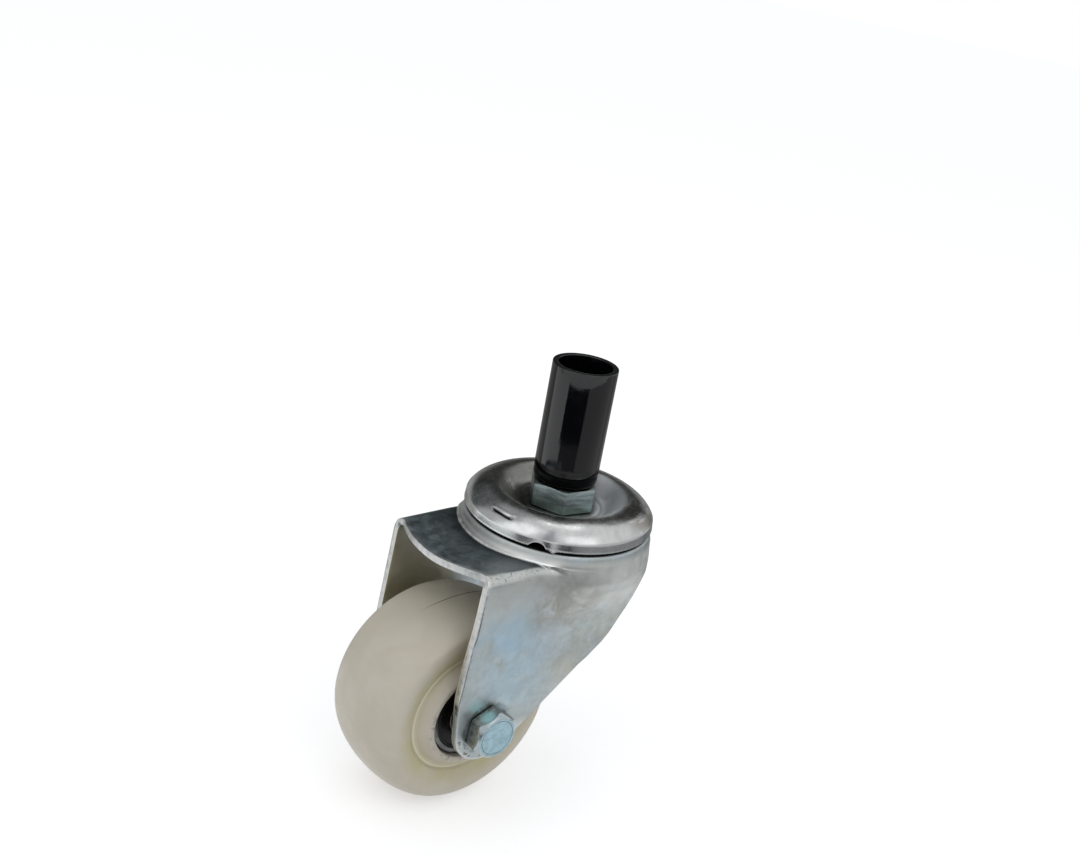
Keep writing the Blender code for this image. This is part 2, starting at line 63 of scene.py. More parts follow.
def node(tree, kind, inputs=None, **settings):
    """A shader node. Each input is a value, or the output that feeds it."""
    made = tree.nodes.new("ShaderNode" + kind)
    for key, value in settings.items():
        setattr(made, key, value)
    for key, value in (inputs or {}).items():
        if isinstance(value, bpy.types.NodeSocket):
            tree.links.new(value, made.inputs[key])
        else:
            made.inputs[key].default_value = value
    return made


def calc(operation, *values):
    """A Math node on numbers and outputs, at least one of them an output."""
    tree = next(value for value in values if isinstance(value, bpy.types.NodeSocket)).id_data
    return node(tree, "Math", dict(enumerate(values)), operation=operation).outputs[0]


def seen_rays(tree):
    """1 where the eye sees a surface, straight on, in a reflection or through glass."""
    path = node(tree, "LightPath").outputs
    return calc("MAXIMUM", calc("MAXIMUM", path["Is Camera Ray"], path["Is Glossy Ray"]),
                path["Is Transmission Ray"])


world = bpy.data.worlds.new("white_surround")
scene.world = world
world.use_nodes = True
surround = world.node_tree
surround.nodes.clear()
soft_light = node(surround, "Background", {"Color": (0.95, 0.97, 1.0, 1), "Strength": 0.66})
white_paper = node(surround, "Background", {"Color": (1, 1, 1, 1), "Strength": 1.0})
chosen = node(surround, "MixShader",
              {0: seen_rays(surround), 1: soft_light.outputs[0], 2: white_paper.outputs[0]})
node(surround, "OutputWorld", {"Surface": chosen.outputs[0]})


def material(name):
    """A new material with an empty node tree."""
    made = bpy.data.materials.new(name)
    made.use_nodes = True
    made.node_tree.nodes.clear()
    return made


floor_paint = material("floor_paint")
paint = floor_paint.node_tree
matt = node(paint, "BsdfDiffuse", {"Color": (0.86, 0.86, 0.86, 1)})
glow = node(paint, "Emission", {"Color": (1, 1, 1, 1), "Strength": 0.44})
lit = node(paint, "AddShader", {0: matt.outputs[0], 1: glow.outputs[0]})
paper = node(paint, "MixShader", {0: seen_rays(paint), 1: matt.outputs[0], 2: lit.outputs[0]})
node(paint, "OutputMaterial", {"Surface": paper.outputs[0]})


def mesh_of(name, bm, finish):
    """Turns a bmesh into a mesh with a finish."""
    mesh = bpy.data.meshes.new(name)
    bm.to_mesh(mesh)
    bm.free()
    mesh.materials.append(finish)
    return mesh


def put(name, data):
    """A new object in the scene."""
    made = bpy.data.objects.new(name, data)
    scene.collection.objects.link(made)
    return made


sheet = bmesh.new()
bmesh.ops.create_grid(sheet, x_segments=1, y_segments=1, size=6.0)
bmesh.ops.translate(sheet, verts=sheet.verts, vec=(0, 0, cad_box[0].z))
floor = put("floor", mesh_of("floor", sheet, floor_paint))


def aim(azimuth, elevation):
    """The direction of an azimuth from +X and a height over the horizon, in degrees."""
    a = math.radians(azimuth)
    e = math.radians(elevation)
    return Vector((math.cos(a) * math.cos(e), math.sin(a) * math.cos(e), math.sin(e)))


SET_CENTRE = Vector((-0.01, 0, -0.05))
OVER_FLOOR = 0.002


def card(name, shade, lay):
    """A matt card that only reflections see. lay gives the place of a grid point from -1 to 1."""
    finish = material(name)
    flat = node(finish.node_tree, "Emission", {"Color": (*shade, 1), "Strength": 1.0})
    node(finish.node_tree, "OutputMaterial", {"Surface": flat.outputs[0]})
    grid = bmesh.new()
    bmesh.ops.create_grid(grid, x_segments=16, y_segments=12, size=1.0)
    for vert in grid.verts:
        vert.co = lay(vert.co.x, vert.co.y)
    made = put(name, mesh_of(name, grid, finish))
    made.visible_camera = False
    made.visible_diffuse = False
    made.visible_shadow = False


def between(first, last, share):
    """The value that lies a share of the way from one to another."""
    return first + (last - first) * share


def standing(azimuths, elevations, away):
    """Places a card's points on a sphere round the castor."""
    def lay(u, v):
        way = aim(between(*azimuths, (u + 1) / 2), between(*elevations, (v + 1) / 2))
        return SET_CENTRE + way * away
    return lay


def lying(azimuths, near, far):
    """Places a card's points on the floor, as a slice of a ring round the leg."""
    def lay(u, v):
        way = aim(between(*azimuths, (u + 1) / 2), 0)
        return way * between(near, far, (v + 1) / 2) + Vector((0, 0, cad_box[0].z + OVER_FLOOR))
    return lay


card("card_far_side", (0.065, 0.07, 0.07), standing((12, 118), (9, 50), 1.0))
card("card_far_low", (0.36, 0.36, 0.35), standing((4, 150), (-10, 9), 1.01))
card("card_far_floor", (0.30, 0.30, 0.29), lying((4, 122), 0.10, 1.0))
card("card_far_up", (0.36, 0.36, 0.37), standing((55, 146), (49, 68), 1.02))
card("card_far_left", (0.41, 0.41, 0.42), standing((116, 154), (-6, 50), 1.04))
card("card_front", (0.40, 0.39, 0.44), standing((-148, -129), (26, 82), 1.0))
card("card_low_front", (0.03, 0.03, 0.035), lying((-176, -106), 0.22, 0.9))
card("card_low_near", (0.16, 0.16, 0.165), lying((-170, -106), 0.12, 0.22))
card("card_low_right", (0.42, 0.42, 0.43), lying((-106, -13), 0.13, 0.9))
card("card_low_side", (0.26, 0.26, 0.27), lying((-13, 4), 0.15, 0.9))


def lamp(name, azimuth, elevation, away, width, height, radiance):
    """A flat soft lamp that looks at the castor."""
    data = bpy.data.lights.new(name, "AREA")
    data.shape = "RECTANGLE"
    data.size = width
    data.size_y = height
    data.energy = radiance * math.pi * width * height
    made = put(name, data)
    made.location = SET_CENTRE + aim(azimuth, elevation) * away
    made.rotation_euler = aim(azimuth, elevation).to_track_quat("Z", "Y").to_euler()


lamp("lamp_left", 178, 54, 0.9, 0.40, 0.60, 0.70)
lamp("lamp_front", -92, 48, 0.9, 0.50, 0.50, 0.74)
lamp("lamp_top", 34, 72, 0.9, 0.30, 0.20, 1.6)

camera_data = bpy.data.cameras.new("photo_camera")
camera_data.sensor_width = 36
camera_data.lens = 43.366
camera_data.clip_start = 0.01
camera = put("photo_camera", camera_data)
camera.matrix_world = Matrix((
    (0.77313242, 0.10542525, -0.62542128, -0.240952),
    (-0.61211316, 0.38224459, -0.69224746, -0.252308),
    (0.16608354, 0.91802755, 0.36005787, 0.113463),
    (0, 0, 0, 1)))
scene.camera = camera


# Leg tube: a short length of steel tube with a deep gloss black paint, welded at its upper end to
# the frame that rides on the castor. Its lower end is faced square and its edges are broken.
TUBE_RADIUS = 0.0095
TUBE_WALL = 0.0016
TUBE_LENGTH = 0.0320
TUBE_FRONT = (-0.695, -0.719, 0)
# Heights of the painted shade's upper line over the tube's lower end, in front and behind.
SHADE_LINE_FRONT = 0.0004
SHADE_LINE_BEHIND = 0.0034


def spun(profile, steps=96, closed=True):
    """A body turned about Z from (radius, height) points."""
    bm = bmesh.new()
    verts = [bm.verts.new((r, 0, z)) for r, z in profile]
    pairs = list(zip(verts, verts[1:])) + ([(verts[-1], verts[0])] if closed else [])
    edges = [bm.edges.new(pair) for pair in pairs]
    bmesh.ops.spin(bm, geom=verts + edges, cent=(0, 0, 0), axis=(0, 0, 1), angle=math.tau, steps=steps,
                   use_merge=True)
    bmesh.ops.remove_doubles(bm, verts=bm.verts, dist=0.000001)
    bmesh.ops.recalc_face_normals(bm, faces=bm.faces)
    return bm


def ring(outer, inner, low, high, steps):
    """A plain ring on Z."""
    return spun([(outer, high), (outer, low), (inner, low), (inner, high)], steps)


def eased(bm, width, segments=2, sharper_than=32):
    """Rounds every edge that is sharper than an angle."""
    limit = math.radians(sharper_than)
    sharp = [edge for edge in bm.edges if edge.is_manifold and edge.calc_face_angle() > limit]
    bmesh.ops.bevel(bm, geom=sharp, offset=width, offset_type="OFFSET", segments=segments, profile=0.5,
                    affect="EDGES", material=-1, clamp_overlap=True)
    return bm


def piece(name, bm, finish, body, slot, replaces, smooth_angle=40):
    """Makes the object, gives it its finish and hangs it on its body."""
    mesh = mesh_of(name, bm, finish)
    mesh.shade_smooth()
    mesh.set_sharp_from_angle(angle=math.radians(smooth_angle))
    made = put(name, mesh)
    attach(made, body)
    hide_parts(*replaces)
    return made


def principled(finish, inputs):
    """The material's shader, joined to its output."""
    tree = finish.node_tree
    shader = node(tree, "BsdfPrincipled", inputs)
    node(tree, "OutputMaterial", {"Surface": shader.outputs[0]})


def object_place(finish, scale=(1, 1, 1)):
    """A material's Object coordinates, stretched if asked."""
    place = node(finish.node_tree, "TexCoord").outputs["Object"]
    if scale == (1, 1, 1):
        return place
    return node(finish.node_tree, "Mapping", {"Vector": place, "Scale": scale}).outputs[0]


def parts(vector):
    """The X, Y and Z of a vector output."""
    return node(vector.id_data, "SeparateXYZ", {0: vector}).outputs


def along(place, way):
    """How far a place lies along a direction from the swivel axis."""
    return node(place.id_data, "VectorMath", {0: place, 1: way}, operation="DOT_PRODUCT").outputs["Value"]


def grain(place, scale, detail=4.0, roughness=0.55, distortion=0.0):
    """Noise from 0 to 1, with scale in features per metre."""
    return node(place.id_data, "TexNoise", {
        "Vector": place, "Scale": scale, "Detail": detail, "Roughness": roughness,
        "Distortion": distortion}).outputs["Fac"]


def ramp(value, low, high, to_low=0.0, to_high=1.0):
    """Maps a value from low..high to another range, smoothly and held at its ends. With low above
    high it falls instead of rising."""
    return node(value.id_data, "MapRange", {
        "Value": value, "From Min": low, "From Max": high, "To Min": to_low,
        "To Max": to_high}, interpolation_type="SMOOTHSTEP").outputs[0]


def blend(amount, first, second):
    """Mixes two colours."""
    mix = node(amount.id_data, "Mix", {0: amount}, data_type="RGBA")
    for index, colour in ((6, first), (7, second)):
        if isinstance(colour, bpy.types.NodeSocket):
            mix.id_data.links.new(colour, mix.inputs[index])
        else:
            mix.inputs[index].default_value = (*colour, 1)
    return mix.outputs[2]


def bumped(height, depth):
    """A normal raised by a height that runs from 0 to 1."""
    return node(height.id_data, "Bump", {"Height": height, "Strength": 1.0, "Distance": depth}).outputs[0]


gloss_black = material("gloss_black_paint")
place = object_place(gloss_black)
dust = ramp(grain(place, 900, 6), 0.62, 0.80, 0.0, 0.12)
# Painted shade: below a line over the tube's lower end, lowest on the side towards TUBE_FRONT and higher
# behind, the paint's reflection is turned almost off, so that end looks black.
shade_line = ramp(along(place, TUBE_FRONT), 0.0, TUBE_RADIUS, SHADE_LINE_BEHIND, SHADE_LINE_FRONT)
above_shade_line = calc("SUBTRACT", calc("ADD", parts(place)[2], TUBE_LENGTH), shade_line)
principled(gloss_black, {
    "Base Color": blend(dust, (0.0010, 0.0012, 0.0020), (0.010, 0.010, 0.012)),
    "Roughness": ramp(grain(place, 160, 4), 0.35, 0.75, 0.06, 0.13),
    "Specular IOR Level": ramp(above_shade_line, -0.0001, 0.0001, 0.02, 0.5),
    "IOR": 1.55,
    "Normal": bumped(grain(place, 420, 2), 0.00002)})

tube_bore = TUBE_RADIUS - TUBE_WALL
tube = ring(TUBE_RADIUS, tube_bore, -TUBE_LENGTH, 0, 128)
piece("leg_tube_painted", eased(tube, 0.00022, 3), gloss_black, "leg", "black_paint", ["leg_tube"])


# Threaded bush: a black turned plug pressed into the tube's lower end. Only its flange shows, a
# dull black band under the tube with a rounded lower edge.
GAP = 0.0003
BUSH_Z = -TUBE_LENGTH - GAP
BUSH_FLANGE = 0.0030
BUSH_PLUG = 0.0148
STEM_BORE_RADIUS = 0.0063

dull_black = material("dull_black")
place = object_place(dull_black)
principled(dull_black, {
    "Base Color": blend(ramp(grain(place, 700, 5), 0.58, 0.8), (0.0014, 0.0016, 0.0020),
                        (0.010, 0.010, 0.011)),
    "Roughness": ramp(grain(place, 300, 4), 0.3, 0.8, 0.20, 0.32),
    "Specular IOR Level": 0.05,
    "Normal": bumped(grain(place, 1500, 3), 0.00002)})

plug = tube_bore - GAP
flange = TUBE_RADIUS - 0.0001
flange_low = BUSH_Z - BUSH_FLANGE
flange_top = BUSH_Z + GAP * 0.9
bush = spun([
    (plug, BUSH_Z + BUSH_PLUG), (plug, flange_top), (flange, flange_top), (flange, flange_low + 0.0014),
    (flange - 0.00011, flange_low + 0.00086), (flange - 0.00041, flange_low + 0.00041),
    (flange - 0.00086, flange_low + 0.00011), (flange - 0.0014, flange_low),
    (STEM_BORE_RADIUS, flange_low), (STEM_BORE_RADIUS, BUSH_Z + BUSH_PLUG)], 128)
piece("leg_bush_flange", eased(bush, 0.00008, 2), dull_black, "leg", "black_bush", ["leg_bush"])


# Stem: an M12 bolt that hangs in the bush, head under the fork, thread up in the tube. The thin
# nut under the bush clamps the race cap. Both are zinc plated; the nut has gone greenish.
STEM_RADIUS = 0.0060
STEM_TOP = BUSH_Z + 0.0190
STEM_HEAD_Z = -0.0532
STEM_HEAD_FLATS = 0.0180
STEM_HEAD_HEIGHT = 0.0060
STEM_PITCH = 0.00175
NUT_TOP_Z = BUSH_Z - BUSH_FLANGE - GAP
NUT_HEIGHT = 0.0071
NUT_LOW_Z = NUT_TOP_Z - NUT_HEIGHT
NUT_FLATS = 0.0180
NUT_CORNER = 53.4


def hexagon(flats, low, high, corner, chamfers, face_share=0.95, slope=28, hollow=0.0):
    """A hexagon on Z with its corners turned off at the named ends. corner is the direction of one
    corner from +X, in degrees; a hollow dishes the upper face."""
    bm = bmesh.new()
    half = flats / 2
    face = half * face_share
    tilt = math.tan(math.radians(slope))
    bmesh.ops.create_circle(bm, cap_ends=False, radius=1.0, segments=72)
    verts = list(bm.verts)
    edges = list(bm.edges)
    rim = []
    for vert in verts:
        angle = math.atan2(vert.co.y, vert.co.x)
        from_flat = (angle - math.radians(30)) % math.radians(60) - math.radians(30)
        radius = min(half / math.cos(from_flat), half / math.cos(math.radians(28.2)))
        rim.append((Vector((math.cos(angle), math.sin(angle), 0)), radius))
    for level in range(5):
        if level:
            grown = bmesh.ops.extrude_edge_only(bm, edges=edges)["geom"]
            verts = [item for item in grown if isinstance(item, bmesh.types.BMVert)]
            edges = [item for item in grown if isinstance(item, bmesh.types.BMEdge)]
            edges = [edge for edge in edges if all(v in verts for v in edge.verts)]
        for vert, (way, radius) in zip(verts, rim):
            fall = (radius - face) * tilt
            reach, height = (
                (face, low), (radius, low + fall * ("low" in chamfers)),
                (radius, high - fall * ("top" in chamfers)), (face, high),
                (face * 0.93, high - hollow))[level]
            vert.co = way * reach + Vector((0, 0, height))
    bmesh.ops.holes_fill(bm, edges=[edge for edge in bm.edges if edge.is_boundary], sides=0)
    bmesh.ops.remove_doubles(bm, verts=bm.verts, dist=0.000001)
    bmesh.ops.recalc_face_normals(bm, faces=bm.faces)
    spin = Matrix.Rotation(math.radians(corner - 30), 3, "Z")
    bmesh.ops.rotate(bm, verts=bm.verts, cent=(0, 0, 0), matrix=spin)
    return bm


def threaded(radius, low, high, pitch, depth):
    """A rod with thread-like ridges round it, pointed slightly at its upper end."""
    profile = [(0, low), (radius, low)]
    z = low + pitch * 0.5
    while z < high - pitch * 1.5:
        profile += [(radius - depth, z), (radius - depth * 0.1, z + pitch * 0.42), (radius, z + pitch * 0.5),
                    (radius - depth * 0.1, z + pitch * 0.58)]
        z += pitch
    profile += [(radius - depth, z), (radius - depth * 1.2, high - 0.0004), (radius - depth * 1.8, high),
                (0, high)]
    return spun(profile, 64, closed=False)


def rod(radius, low, high):
    """A plain cylinder on Z."""
    return spun([(0, low), (radius, low), (radius, high), (0, high)], 64, closed=False)


def joined(first, second):
    """Adds a second bmesh to the first."""
    carry = bpy.data.meshes.new("carry")
    second.to_mesh(carry)
    second.free()
    first.from_mesh(carry)
    bpy.data.meshes.remove(carry)
    return first


def zinc(name, light, dark, roughness, streak=(1, 1, 1)):
    """Zinc plate in two shades with fine speckle. streak stretches the fine grain as brushing does."""
    finish = material(name)
    place = object_place(finish)
    fine = grain(object_place(finish, streak), 1400, 5, 0.65)
    colour = blend(ramp(grain(place, 260, 5, 0.6, 0.4), 0.32, 0.68), dark, light)
    speck = ramp(grain(place, 2300, 3), 0.66, 0.76)
    principled(finish, {
        "Base Color": blend(speck, colour, tuple(part * 0.35 for part in dark)),
        "Metallic": 1.0,
        "Roughness": ramp(fine, 0.25, 0.75, roughness - 0.06, roughness + 0.10),
        "Normal": bumped(fine, 0.00001)})
    return finish


nut_zinc = material("greenish_zinc")
layers = grain(object_place(nut_zinc, (1, 1, 7)), 190, 5, 0.6, 0.3)
fine = grain(object_place(nut_zinc, (1, 1, 9)), 900, 5, 0.65)
turned = ramp(parts(node(nut_zinc.node_tree, "NewGeometry").outputs["Normal"])[2], 0.25, 0.45)
lower_band = ramp(parts(object_place(nut_zinc))[2], NUT_LOW_Z + 0.0022, NUT_LOW_Z + 0.0014)
colour = blend(ramp(layers, 0.34, 0.62), (0.18, 0.225, 0.23), (0.33, 0.39, 0.40))
colour = blend(lower_band, colour, (0.27, 0.36, 0.34))
principled(nut_zinc, {
    "Base Color": blend(turned, colour, (0.27, 0.315, 0.30)),
    "Metallic": 1.0,
    "Roughness": ramp(fine, 0.25, 0.75, 0.24, 0.40),
    "Normal": bumped(fine, 0.00004)})
nut = hexagon(NUT_FLATS, NUT_LOW_Z, NUT_TOP_Z, NUT_CORNER, ("top",), 0.975, 24)
piece("stem_nut_plated", eased(nut, 0.00016, 2, 18), nut_zinc, "leg", "nut_zinc", ["stem_nut"], 30)

stem_zinc = zinc("thread_zinc", (0.52, 0.54, 0.55), (0.40, 0.42, 0.43), 0.32)
head = hexagon(STEM_HEAD_FLATS, STEM_HEAD_Z - STEM_HEAD_HEIGHT, STEM_HEAD_Z, 0, ("low",), 0.95, 30)
stem = joined(eased(head, 0.0002, 2, 25), rod(STEM_RADIUS, STEM_HEAD_Z - 0.0010, NUT_LOW_Z))
stem = joined(stem, threaded(STEM_RADIUS, NUT_LOW_Z - 0.0002, STEM_TOP, STEM_PITCH, 0.0007))
piece("stem_bolt", stem, stem_zinc, "leg", "stem_zinc", ["stem"], 30)


# Race cap: a ring pressed from bright zinc-plated sheet. A low skirt, a round crest and a dished
# floor under the nut. The press left a nick in the crest and a crimp at the skirt's lower edge.
SKIRT_Z = -0.0457
CAP_RADIUS = 0.0280
CAP_SHEET = 0.0016
SKIRT_HEIGHT = 0.0026
SKIRT_TAPER = 0.00025
CREST_HEIGHT = 0.0069
CREST_INSET = 0.0082
CREASE = math.radians(30)
FLOOR_HEIGHT = 0.0027
FLOOR_RADIUS = 0.0128
NICK_RADIUS = 0.02565
NICK_DEPTH = 0.00040
NICK_FROM, NICK_TO = 183.0, 196.0
NOTCH_TURN = 218.5
NOTCH_HALF = 4.6
NOTCH_DEPTH = 0.0016
BEAD_DEPTH = 0.0005
BEAD_FROM, BEAD_TO = 227.2, 228.2
CAP_FRONT = (-0.669, -0.743, 0)
CAP_RIGHT = (0.743, -0.669, 0)
skirt_top = SKIRT_Z + SKIRT_HEIGHT


def swell(value, low, high):
    """0 below low, 1 above high and smooth between them."""
    t = min(max((value - low) / (high - low), 0.0), 1.0)
    return t * t * (3 - 2 * t)


def hump(value, low, high, edge):
    """1 between low and high, falling smoothly to 0 over an edge outside them."""
    return swell(value, low - edge, low) * (1 - swell(value, high, high + edge))


crest_r = CAP_RADIUS - CREST_INSET
wide = (CREST_INSET - SKIRT_TAPER) / math.cos(CREASE)
tall = (CREST_HEIGHT - SKIRT_HEIGHT) / (1 - math.sin(CREASE))
crest_middle = SKIRT_Z + CREST_HEIGHT - tall
floor_z = SKIRT_Z + FLOOR_HEIGHT
outside = [(CAP_RADIUS - 0.0002, SKIRT_Z), (CAP_RADIUS, SKIRT_Z + 0.0003)]
for step in range(1, 6):
    outside.append((CAP_RADIUS - SKIRT_TAPER * step / 6, between(SKIRT_Z, skirt_top, step / 6)))
for step in range(37):
    turn = between(CREASE, math.pi / 2, step / 36)
    outside.append((crest_r + wide * math.cos(turn), crest_middle + tall * math.sin(turn)))
for step in range(1, 15):
    outside.append((between(crest_r, FLOOR_RADIUS, step / 14),
                    between(SKIRT_Z + CREST_HEIGHT, floor_z, swell(step, 0, 14))))
outside += [(r, floor_z - drop) for r, drop in (
    (0.0124, 0.00006), (0.0121, 0.0003), (0.0117, 0.0003), (0.0114, 0), (0.0098, 0), (STEM_BORE_RADIUS, 0))]

# The inner face lies one sheet's thickness inside the outer one.
inside = []
for index, (r, z) in enumerate(outside):
    before = Vector(outside[max(index - 1, 0)])
    after = Vector(outside[min(index + 1, len(outside) - 1)])
    onward = (after - before).normalized()
    if r > CAP_RADIUS - 0.0004 and z < skirt_top:
        onward = Vector((0, 1))
    if r < FLOOR_RADIUS:
        onward = Vector((-1, 0))
        z = max(z, floor_z)
    inside.append((r - CAP_SHEET * onward.y, z + CAP_SHEET * onward.x))
cap = spun(outside[::-1] + inside, 240)

# The notch and the bead at the skirt's edge, the nick in the crest, and a slight waviness.
for vert in cap.verts:
    r = math.hypot(vert.co.x, vert.co.y)
    azimuth = math.degrees(math.atan2(vert.co.y, vert.co.x)) % 360
    height = vert.co.z - SKIRT_Z
    if r > 0.0255 and height < SKIRT_HEIGHT:
        low = 1 - height / SKIRT_HEIGHT
        notch = NOTCH_DEPTH * math.sqrt(max(1 - ((azimuth - NOTCH_TURN) / NOTCH_HALF) ** 2, 0)) * low
        bead = BEAD_DEPTH * hump(azimuth, BEAD_FROM, BEAD_TO, 1.6) * low
        vert.co.z += notch - bead
        push = 1 + (0.0004 * hump(azimuth, BEAD_FROM - 0.6, BEAD_TO + 0.8, 1.2) * low) / r
        vert.co.x *= push
        vert.co.y *= push
    if r > 0.0225 and height > SKIRT_HEIGHT + 0.0006:
        nick = math.exp(-((r - NICK_RADIUS) / 0.00036) ** 2) * hump(azimuth, NICK_FROM, NICK_TO, 2.5)
        vert.co.z -= (NICK_DEPTH + 0.00025 * swell(azimuth, NICK_FROM + 5, NICK_TO - 1)) * nick
        lip = math.exp(-((r - NICK_RADIUS + 0.00075) / 0.00030) ** 2)
        vert.co.z += 0.00015 * lip * hump(azimuth, NICK_FROM - 1, NICK_TO + 1, 3.0)
    way = math.radians(azimuth)
    vert.co.z += 0.00004 * noise.noise(Vector((math.cos(way) * 2.1, math.sin(way) * 2.1, r * 90)))


def distance(place, centre, keep=(1, 1, 1)):
    """Distance from a point, along only the axes that keep leaves in."""
    kept = node(place.id_data, "VectorMath", {0: place, 1: keep}, operation="MULTIPLY").outputs[0]
    return node(place.id_data, "VectorMath", {0: kept, 1: centre}, operation="DISTANCE").outputs["Value"]


def spot(place, centre, radius, edge=1.0):
    """1 at a point, fading to 0 at a radius."""
    return ramp(distance(place, centre), radius, radius * (1 - edge))


def times(mask, *others):
    """Masks multiplied, the first an output and the others outputs or numbers."""
    for other in others:
        mask = calc("MULTIPLY", mask, other)
    return mask


def band(value, start, full, fade, end):
    """A mask of 1 from full to fade, and 0 before start and after end."""
    return times(ramp(value, start, full), ramp(value, end, fade))


def layered(colour, *layers):
    """A colour with (mask, colour) layers over it, the lowest first."""
    for mask, shade in layers:
        colour = blend(mask, colour, shade)
    return colour


bright_zinc = material("bright_zinc")
place = object_place(bright_zinc)
x, y, z = parts(place)
reach = distance(place, (0, 0, 0), (1, 1, 0))
ahead = along(place, CAP_FRONT)
beside = along(place, CAP_RIGHT)
along_rim = calc("MULTIPLY", calc("ARCTAN2", beside, ahead), 0.0060)
rolled = node(bright_zinc.node_tree, "CombineXYZ", {0: reach, 1: along_rim, 2: z}).outputs[0]
# Grain drawn out along the rim, for the real stains and to break up the painted light and shade below.
rim_streaks = grain(rolled, 330, 6, 0.66, 0.8)
cloud = ramp(grain(place, 120, 5, 0.62, 0.6), 0.36, 0.66)
right_stain = times(spot(place, (0.0135, -0.0190, SKIRT_Z + 0.006), 0.0130, 0.7), ramp(rim_streaks, 0.40, 0.56))
left_stain = times(spot(place, (-0.0190, 0.0130, SKIRT_Z + 0.006), 0.0130, 0.8),
                   ramp(rim_streaks, 0.42, 0.62, 0.0, 0.35), ramp(reach, 0.0250, 0.0235))
# Stain and painted shade together darken the inner slope and dish on the left.
inner_left = times(ramp(beside, -0.0080, -0.0130), ramp(ahead, 0.0070, 0.0035), ramp(reach, 0.0262, 0.0242),
                   ramp(rim_streaks, 0.30, 0.60, 0.5, 0.95))
# Painted highlights: a pale patch on the crest's top at the left, and a pale band on the crest's outer flank
# there.
crest_highlight_left = times(ramp(beside, -0.0100, -0.0170), ramp(ahead, 0.0060, 0.0110), ramp(reach, 0.0212, 0.0232),
                 ramp(rim_streaks, 0.34, 0.62, 1.0, 0.75))
flank_highlight_left = times(ramp(beside, -0.0150, -0.0220), ramp(reach, 0.0255, 0.0268),
                   ramp(z, skirt_top, skirt_top + 0.0004))
in_dish = ramp(reach, 0.0212, 0.0178)
# Painted shade over the dish's floor, broken up by the grain, except on its right.
dish_shade = times(in_dish, ramp(rim_streaks, 0.30, 0.62, 0.55, 0.95), ramp(beside, 0.0115, 0.0080))
# Painted shade, nearly black, on the floor close round the nut's left side.
nut_shade = times(ramp(reach, 0.0142, 0.0118), ramp(beside, -0.0020, -0.0060),
                  ramp(rim_streaks, 0.30, 0.60, 0.6, 0.95))
# A painted highlight: a pale spot on the dish's left, broken up by fine grain.
dish_highlight = times(spot(place, (-0.0099, 0.0131, -0.0424), 0.0034, 0.9),
               ramp(grain(place, 620, 5, 0.7, 0.6), 0.40, 0.62))
# Painted light: the dish's floor paler towards its right; it is made rougher there too.
lit_dish_floor = times(in_dish, ramp(beside, 0.0090, 0.0125))
# Painted shade in a band along the crest's top, broken up by the grain.
crest_shade_band = times(band(reach, 0.0188, 0.0200, 0.0212, 0.0228), ramp(rim_streaks, 0.36, 0.60, 0.15, 0.65))
# Painted shade on the skirt's right half.
on_skirt = times(ramp(z, skirt_top + 0.0010, skirt_top + 0.0002), ramp(beside, 0.0000, 0.0060),
                 ramp(reach, CAP_RADIUS - 0.0008, CAP_RADIUS - 0.0004))
specks = ramp(grain(place, 1900, 2), 0.70, 0.78)
# The nick is painted nearly black, as the shade inside it.
from_nick = calc("SUBTRACT", reach, NICK_RADIUS)
nick_shade = times(band(from_nick, -0.00042, -0.00022, 0.00016, 0.00036),
                band(y, -0.0076, -0.0070, -0.0014, 0.0004), ramp(x, -0.012, -0.018))
principled(bright_zinc, {
    "Base Color": layered(
        blend(cloud, (0.455, 0.47, 0.47), (0.55, 0.56, 0.56)), (right_stain, (0.235, 0.225, 0.205)),
        (left_stain, (0.30, 0.29, 0.265)), (inner_left, (0.20, 0.197, 0.185)), (crest_highlight_left, (0.80, 0.83, 0.82)),
        (flank_highlight_left, (0.74, 0.76, 0.77)), (dish_shade, (0.19, 0.188, 0.175)), (nut_shade, (0.055, 0.053, 0.047)),
        (dish_highlight, (0.80, 0.82, 0.81)), (lit_dish_floor, (0.72, 0.75, 0.77)), (crest_shade_band, (0.27, 0.265, 0.245)),
        (on_skirt, (0.37, 0.385, 0.385)), (specks, (0.16, 0.16, 0.16)), (nick_shade, (0.02, 0.02, 0.02))),
    "Metallic": 1.0,
    "Roughness": calc("ADD", ramp(grain(place, 340, 5), 0.3, 0.72, 0.20, 0.31),
                      calc("MULTIPLY_ADD", in_dish, 0.12, times(lit_dish_floor, 0.22))),
    "Anisotropic": 0.35,
    "Anisotropic Rotation": 0.25,
    "Tangent": node(bright_zinc.node_tree, "Tangent", direction_type="RADIAL", axis="Z").outputs[0],
    "Normal": bumped(grain(place, 260, 4), 0.00002)})
piece("race_cap_pressed", cap, bright_zinc, "leg", "cap_zinc", ["race_cap"], 50)


# Lower race cup: a shallow cup pressed from the same sheet, held up under the fork's crown by the
# stem's head.
CUP_Z = -0.0487
CUP_RADIUS = 0.0170
CUP_DEPTH = 0.0042
cup_floor = CUP_RADIUS - CUP_DEPTH * 0.7
cup = spun([
    (CUP_RADIUS, CUP_Z), (CUP_RADIUS, CUP_Z - CUP_DEPTH * 0.5), (cup_floor, CUP_Z - CUP_DEPTH),
    (STEM_BORE_RADIUS, CUP_Z - CUP_DEPTH), (STEM_BORE_RADIUS, CUP_Z - CUP_DEPTH + CAP_SHEET),
    (cup_floor - CAP_SHEET, CUP_Z - CUP_DEPTH + CAP_SHEET), (CUP_RADIUS - CAP_SHEET, CUP_Z)], 96)
piece("lower_cup_pressed", eased(cup, 0.0006, 3, 25), bright_zinc, "leg", "cap_zinc", ["lower_cup"])


